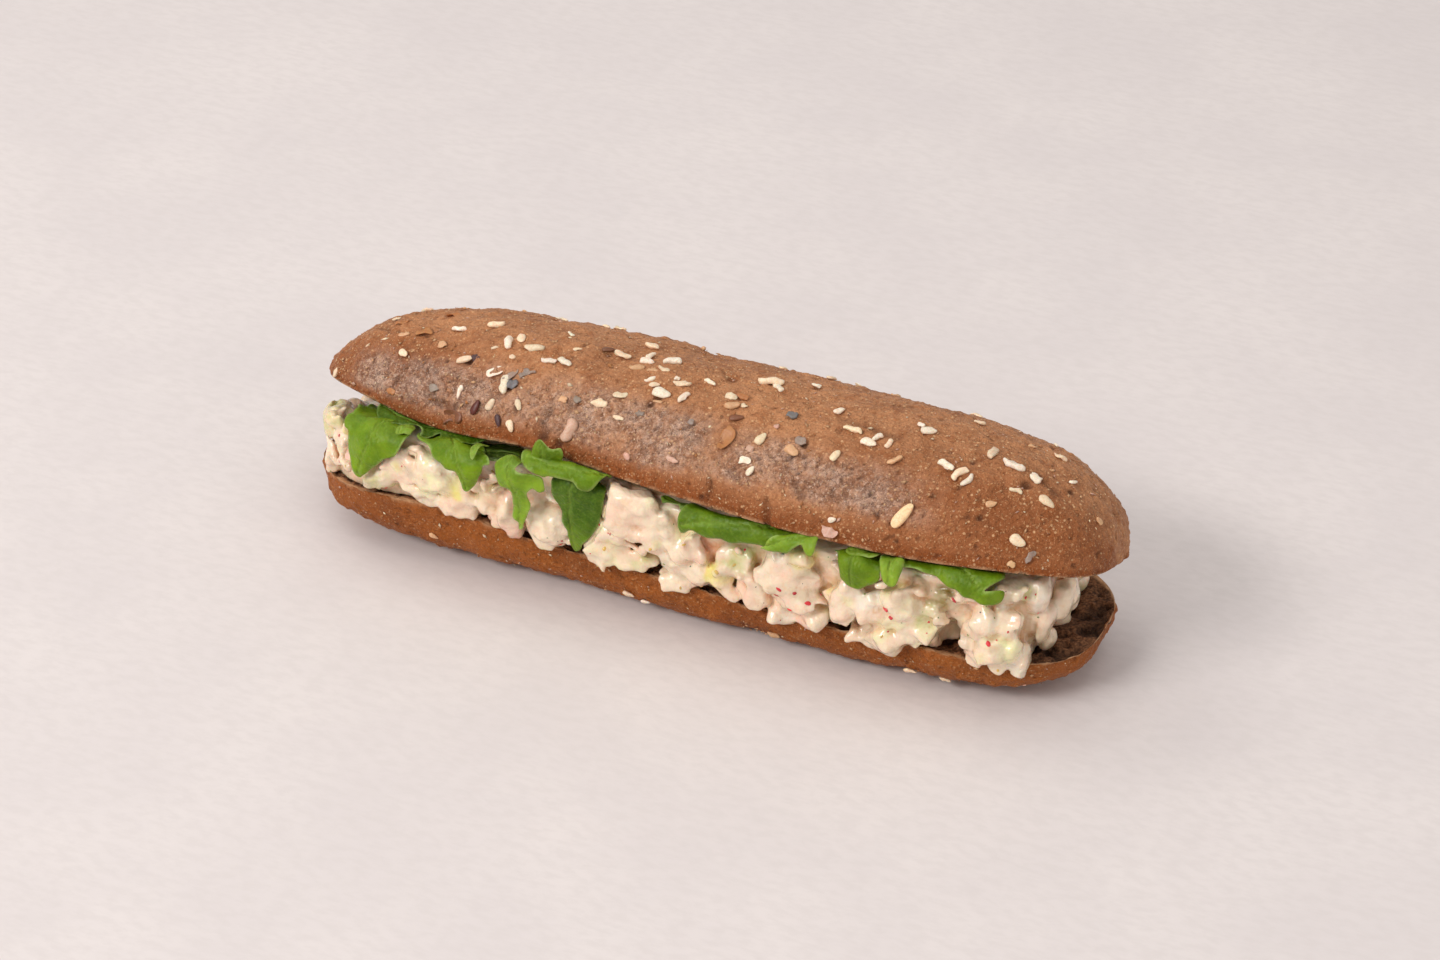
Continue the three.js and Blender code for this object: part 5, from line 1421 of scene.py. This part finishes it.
# Veins and painted rim highlight of a blade (mm): the gap between side veins, and widths
SIDE_VEIN_GAP = 2.6
SIDE_VEIN_WIDTH = 0.24
MIDRIB_WIDTH = 0.34
PALE_RIM_WIDTH = 0.22


def sheet_point(x, s, side, layer, rise):
    """Point of the sheet of a layer of leaves that goes under the upper half and down the heap."""
    bend = LEAF_BEND + layer * LEAF_LAYER
    angle = np.clip(s / bend, 0, math.pi / 2)
    out = np.where(s < 0, s, bend * np.sin(angle))
    down = LEAF_HEADROOM + (2 - layer) * LEAF_LAYER + bend * (1 - np.cos(angle))
    down = down + np.maximum(0, s - bend * math.pi / 2)
    top = lid_cut_height(x, heap_edge(x, side, 1))
    height = top - base_cut_height(x, heap_edge(x, side, 0))
    up = np.clip(1 - down / height, -0.2, 1)
    y = heap_edge(x, side, up) + side * out
    over = np.where(s < 0, lid_cut_height(x, y), top)
    room = LEAF_HEADROOM + (2 - layer) * LEAF_LAYER - 0.3
    lift = np.where(s < 0, np.minimum(rise, room), rise)
    return stacked(x, y + side * lift * np.sin(angle), over - down + lift * np.cos(angle))


def upright_point(x, s, side, rise):
    """Point of a sheet that stands up in front of the upper crust's rim."""
    edge = heap_edge(x, side, 1)
    return stacked(x, edge + side * (UPRIGHT_GAP + rise), lid_cut_height(x, edge) - s)


def smooth_outline(points, step):
    """Closed outline through the given points, rounded between them."""
    points = np.array(points, float)
    before, after, later = np.roll(points, 1, 0), np.roll(points, -1, 0), np.roll(points, -2, 0)
    parts = []
    for p0, p1, p2, p3 in zip(before, points, after, later):
        count = max(1, round(float(np.linalg.norm(p2 - p1)) / step))
        t = (np.arange(count) / count)[:, None]
        curve = 2 * p1 + (p2 - p0) * t + (2 * p0 - 5 * p1 + 4 * p2 - p3) * t ** 2
        parts.append(0.5 * (curve + (3 * p1 - p0 - 3 * p2 + p3) * t ** 3))
    return np.concatenate(parts)


def inside(points, outline):
    """Whether points of a plane lie inside a closed outline."""
    after = np.roll(outline, -1, 0)
    x, s = points[:, :1], points[:, 1:]
    crossed = (outline[:, 1] > s) != (after[:, 1] > s)
    along, down = (after - outline).T
    slope = along / np.where(down == 0, 1, down)
    return (crossed & (x < outline[:, 0] + (s - outline[:, 1]) * slope)).sum(1) % 2 == 1


def vertex_normals(points, faces):
    corners = points[faces]
    across = np.cross(corners[:, 1] - corners[:, 0], corners[:, 2] - corners[:, 0])
    normals = np.zeros_like(points)
    for corner in range(3):
        np.add.at(normals, faces[:, corner], across)
    return normals / np.maximum(np.linalg.norm(normals, axis=1, keepdims=True), 1e-9)


def flat_blade(outline, random):
    """A blade laid flat: its points, its triangles and its closed rim."""
    ring = smooth_outline(outline, LEAF_STEP)
    rim = np.concatenate((ring, ring[:1]))
    low, high = ring.min(0), ring.max(0)
    columns = np.arange(low[0], high[0], LEAF_STEP)
    rows = np.arange(low[1], high[1], LEAF_STEP)
    grid = np.stack(np.meshgrid(columns, rows, indexing="ij"), -1).reshape(-1, 2)
    grid += random.uniform(-0.1, 0.1, grid.shape)
    grid = grid[inside(grid, ring)]
    grid = grid[path_distance(grid, rim) > 0.6 * LEAF_STEP]
    flat = [Vector(point) for point in np.concatenate((ring, grid)).tolist()]
    made = delaunay_2d_cdt(flat, [], [list(range(len(ring)))], 1, 1e-5)
    return np.array([tuple(point) for point in made[0]]), np.array(made[2]), rim


def blade_rise(flat, rim, to_rim, to_rib, belly, random):
    """How far a blade stands out of its sheet (mm): its belly, its fold at the midrib, waves and ruffles."""
    down = flat[:, 1]
    low, high = rim[:, 1].min(), rim[:, 1].max()
    seeded = stacked(flat[:, 0], down, 7.0 * random.uniform())
    rise = belly * np.sin(math.pi * np.clip((down - low) / (high - low), 0, 1))
    rise = rise + LEAF_FOLD * (2.5 - np.minimum(to_rib, 5))
    rise = rise - LEAF_GROOVE * np.exp(-(to_rib / LEAF_GROOVE_WIDTH) ** 2) + noise_sum(seeded, LEAF_WAVES)
    width, wavelength, seed = LEAF_RUFFLES
    return rise + (1 - smoothstep(0, width, to_rim)) * noise(seeded, wavelength, seed)


def blade_sheet(side, layer, belly, outline, midrib, random):
    """Middle surface of a blade, with its faces, normals, and distances to its rim and midrib."""
    flat, faces, rim = flat_blade(outline, random)
    to_rim = path_distance(flat, rim)
    to_rib = path_distance(flat, np.array(midrib, float))
    rise = blade_rise(flat, rim, to_rim, to_rib, belly, random)
    if layer == "upright":
        points = upright_point(flat[:, 0], flat[:, 1], side, rise)
    else:
        points = sheet_point(flat[:, 0], flat[:, 1], side, layer, rise)
    normals = vertex_normals(points, faces)
    if np.sum(normals[:, 1] * side + 0.5 * normals[:, 2]) < 0:
        faces = faces[:, ::-1]
        normals = -normals
    return points, faces, normals, to_rim, to_rib, flat


def blade_solid(points, faces, normals, to_rim):
    """Both faces of a blade and its rim, thinner towards the rim."""
    half = LEAF_THICKNESS / 2 * (1 - RIM_THINNING * (1 - smoothstep(0, 0.9, to_rim)))[:, None]
    count = len(points)
    directed = set()
    for a, b, c in faces.tolist():
        directed.update(((a, b), (b, c), (c, a)))
    wall = [(b, a, a + count, b + count) for a, b in sorted(directed) if (b, a) not in directed]
    both = np.concatenate((points + normals * half, points - normals * half))
    return both, faces.tolist() + (faces[:, ::-1] + count).tolist() + wall


def side_veins(flat, to_rib, midrib):
    """Fine veins that slant off the midrib."""
    start, end = np.array(midrib[0], float), np.array(midrib[-1], float)
    way = (end - start) / np.linalg.norm(end - start)
    phase = ((flat - start) @ way - 0.7 * to_rib) / SIDE_VEIN_GAP
    return np.exp(-(((phase % 1) - 0.5) * SIDE_VEIN_GAP / SIDE_VEIN_WIDTH) ** 2) * np.exp(-to_rib / 4)


def leaf_shade(points, down, tint):
    """Colour of each point of a blade, with painted shade near the upper half and painted light further down
    its sheet.
    """
    lit = 0.5 * smoothstep(-0.1, 0.6, noise(points, 8, 5))[:, None]
    shade = LEAF_TINTS[tint] * (1 - lit) + lit * LEAF_TINTS["fresh"]
    # Painted shade near the upper half, giving way to painted light further down the sheet
    paler = 0.68 + 0.32 * smoothstep(-1, 7, down) + 0.35 * smoothstep(9, 24, down)
    return shade * (paler + 0.14 * noise(points, 3.5, 4))[:, None]


def leaf(name, material):
    """A leaf of one or more blades, and the points and outward directions of its sheets."""
    random = np.random.RandomState(ord(name[-1]))
    solids, faces, tints, veins, rims, sheets = [], [], [], [], [], []
    count = 0
    for _, side, layer, belly, tint, outline, midrib in (row for row in BLADES if row[0] == name):
        sheet = blade_sheet(side, layer, belly, outline, midrib, random)
        points, own_faces, normals, to_rim, to_rib, flat = sheet
        solid, own = blade_solid(points, own_faces, normals, to_rim)
        faces += [tuple(i + count for i in face) for face in own]
        count += len(solid)
        solids.append(solid)
        sheets.append((points, normals))
        tints.append(np.tile(leaf_shade(points, flat[:, 1], tint), (2, 1)))
        vein = np.maximum(np.exp(-(to_rib / MIDRIB_WIDTH) ** 2), 0.45 * side_veins(flat, to_rib, midrib))
        veins.append(np.tile(vein, 2))
        # Painted highlight along the rim of each blade
        rims.append(np.tile(np.exp(-(to_rim / PALE_RIM_WIDTH) ** 2), 2))
    thing = mesh_object(name + "_blade", np.concatenate(solids), faces, [material])
    for values, parts in (("tint", tints), ("vein", veins), ("rim", rims)):
        point_values(thing, values, np.concatenate(parts))
    return thing, sheets


# Specks on the salad

SPECK_TINTS = {
    "red": srgb(214, 52, 60), "pepper": srgb(84, 62, 50), "herb": srgb(128, 140, 64),
    "gold": srgb(226, 186, 100),
}
# How many specks of each tint, and their lengths (mm)
SPECK_KINDS = (
    ("red", 120, 0.4, 1.1), ("pepper", 150, 0.2, 0.45), ("herb", 90, 0.3, 0.8), ("gold", 70, 0.5, 1.3),
)
# Red specks that stand out, as (x, way down the sheet) in mm
RED_SPECKS = (
    (31.2, 19.6), (32.4, 16.6), (40.4, 18.4), (35, 22), (59, 14.7), (60.2, 17.2), (57.4, 16), (74, 9),
    (84, 18),
)
RED_SPECK_LENGTH = 1.6
SPECK_RINGS = 6
SPECK_SIDES = 7


def heap_surface(heap):
    """Points (mm) and normals of the heap."""
    count = len(heap.data.vertices)
    places, normals = np.empty(count * 3, np.float32), np.empty(count * 3, np.float32)
    heap.data.vertices.foreach_get("co", places)
    heap.data.vertex_normals.foreach_get("vector", normals)
    return places.reshape(-1, 3).astype(float) / MM, normals.reshape(-1, 3).astype(float)


def salad_specks(heap, material):
    """Small red, black, green and golden bits seated on the salad's surface."""
    random = np.random.RandomState(9)
    places, normals = heap_surface(heap)
    open_side = np.flatnonzero(np.abs(normals[:, 2]) < 0.93)
    chosen = []
    for x, s in RED_SPECKS:
        target = sheet_point(np.array(x), np.array(s), -1, 1, 0)
        near = np.linalg.norm(places - target, axis=1) + 0.5 * places[:, 1]
        chosen.append((int(np.argmin(near)), "red", RED_SPECK_LENGTH))
    for tint, number, small, large in SPECK_KINDS:
        for place in random.choice(open_side, number):
            chosen.append((int(place), tint, random.uniform(small, large)))
    shape = ball(SPECK_RINGS, SPECK_SIDES).reshape(-1, 3)
    shapes, shades = [], []
    for place, tint, length in chosen:
        normal = normals[place]
        along = np.cross(normal, random.normal(size=3))
        along /= np.linalg.norm(along)
        sizes = length / 2 * np.array((1, random.uniform(0.5, 0.9), random.uniform(0.3, 0.5)))
        rough = shape * sizes * (1 + 0.35 * noise(shape * 2 + random.uniform(0, 50), 1.3, 1))[:, None]
        axes = np.stack((along, np.cross(normal, along), normal))
        shapes.append(places[place] + rough @ axes + 0.04 * normal)
        shades.append(SPECK_TINTS[tint] * random.uniform(0.7, 1.25))
    faces = ring_faces(SPECK_RINGS, SPECK_SIDES)
    return joined("salad_specks", shapes, faces, np.clip(shades, 0, 1), material)


# Stage, light and camera

FLOOR_HALF = 2500
DAYLIGHT = (1.0, 0.985, 0.97)
DAYLIGHT_STRENGTH = 0.52
# Soft lamps: azimuth, from 0 in front of the roll to 90 at its right, elevation, distance and size (m),
# power and colour
LAMPS = {
    "front_left": (331, 39, 2.2, (1.0, 0.5), 25, DAYLIGHT),
    "left": (262, 50, 1.5, (0.7, 0.7), 2.5, (1.0, 0.985, 0.965)),
    "right": (75, 38, 2.0, (1.2, 1.2), 3, DAYLIGHT),
    "top": (0, 86, 1.5, (1.1, 1.1), 4.2, (1.0, 0.99, 0.98)),
}
LAMP_TARGET = Vector((0, 0, 0.03))


def towards(azimuth, elevation):
    """Direction from the roll, for angles in radians."""
    flat = math.cos(elevation)
    return Vector((math.sin(azimuth) * flat, -math.cos(azimuth) * flat, math.sin(elevation)))


def aim(name, data, place, target):
    """An object that looks from a place to a target."""
    thing = bpy.data.objects.new(name, data)
    thing.location = place
    thing.rotation_euler = (place - target).to_track_quat("Z", "Y").to_euler()
    bpy.context.scene.collection.objects.link(thing)
    return thing


def softbox(name, azimuth, elevation, distance, size, power, colour):
    lamp = bpy.data.lights.new(name, "AREA")
    lamp.shape = "RECTANGLE"
    lamp.size, lamp.size_y = size
    lamp.energy = power
    lamp.color = colour
    aim(name, lamp, towards(math.radians(azimuth), math.radians(elevation)) * distance, LAMP_TARGET)


def studio():
    corners = [(x * FLOOR_HALF, y * FLOOR_HALF, 0) for x, y in ((-1, -1), (1, -1), (1, 1), (-1, 1))]
    floor = mesh_object("floor", corners, [(0, 1, 2, 3)], [floor_look()])
    world = bpy.data.worlds.new("studio")
    world.use_nodes = True
    background = world.node_tree.nodes["Background"]
    background.inputs["Color"].default_value = (*DAYLIGHT, 1)
    background.inputs["Strength"].default_value = DAYLIGHT_STRENGTH
    bpy.context.scene.world = world
    for name, settings in LAMPS.items():
        softbox(name, *settings)
    bpy.context.scene.view_settings.view_transform = "Standard"


def camera():
    data = bpy.data.cameras.new("camera")
    data.lens = CAMERA_LENS
    place = CAMERA_TARGET + towards(CAMERA_AZIMUTH, CAMERA_ELEVATION) * CAMERA_DISTANCE
    bpy.context.scene.camera = aim("camera", data, place, CAMERA_TARGET)


# The sandwich

def dress(piece, slot, *nodes):
    """The piece belongs to the one body and stands for the nodes; the slot is not used."""
    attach(piece, "root")
    if nodes:
        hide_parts(*nodes)


def sandwich():
    crumb = crumb_look()
    dress(upper_half([crust_look("crust_top"), crumb]), "bread_top", "bread_top")
    dress(lower_half([crust_look("crust_bottom"), crumb]), "bread_bottom", "bread_bottom")
    grain = seed_look("grain", 0.38)
    for kind in SEED_KINDS:
        piece = seeds("seeds_" + kind, lid_rows(kind), lid_point, LID_HALF_LENGTH, 1, grain)
        dress(piece, "bread_top")
    piece = seeds("seeds_base", BASE_SEEDS, base_point, BASE_HALF_LENGTH, -1, grain)
    dress(piece, "bread_bottom")
    flecks = seed_look("bran", 0.7)
    dress(bran("bran_top", *TOP_FLECKS, lid_point, 1, flecks), "bread_top")
    dress(bran("bran_bottom", *BOTTOM_FLECKS, base_point, -1, flecks), "bread_bottom")
    greens = leaf_look()
    sheets = []
    for name in sorted({row[0] for row in BLADES}):
        piece, own_sheets = leaf(name, greens)
        sheets += own_sheets
        dress(piece, "leaf", name)
    heap = salad_heap(salad_look(), sheets)
    dress(heap, "salad", "salad")
    dress(salad_specks(heap, speck_look()), "salad")


sandwich()
studio()
camera()
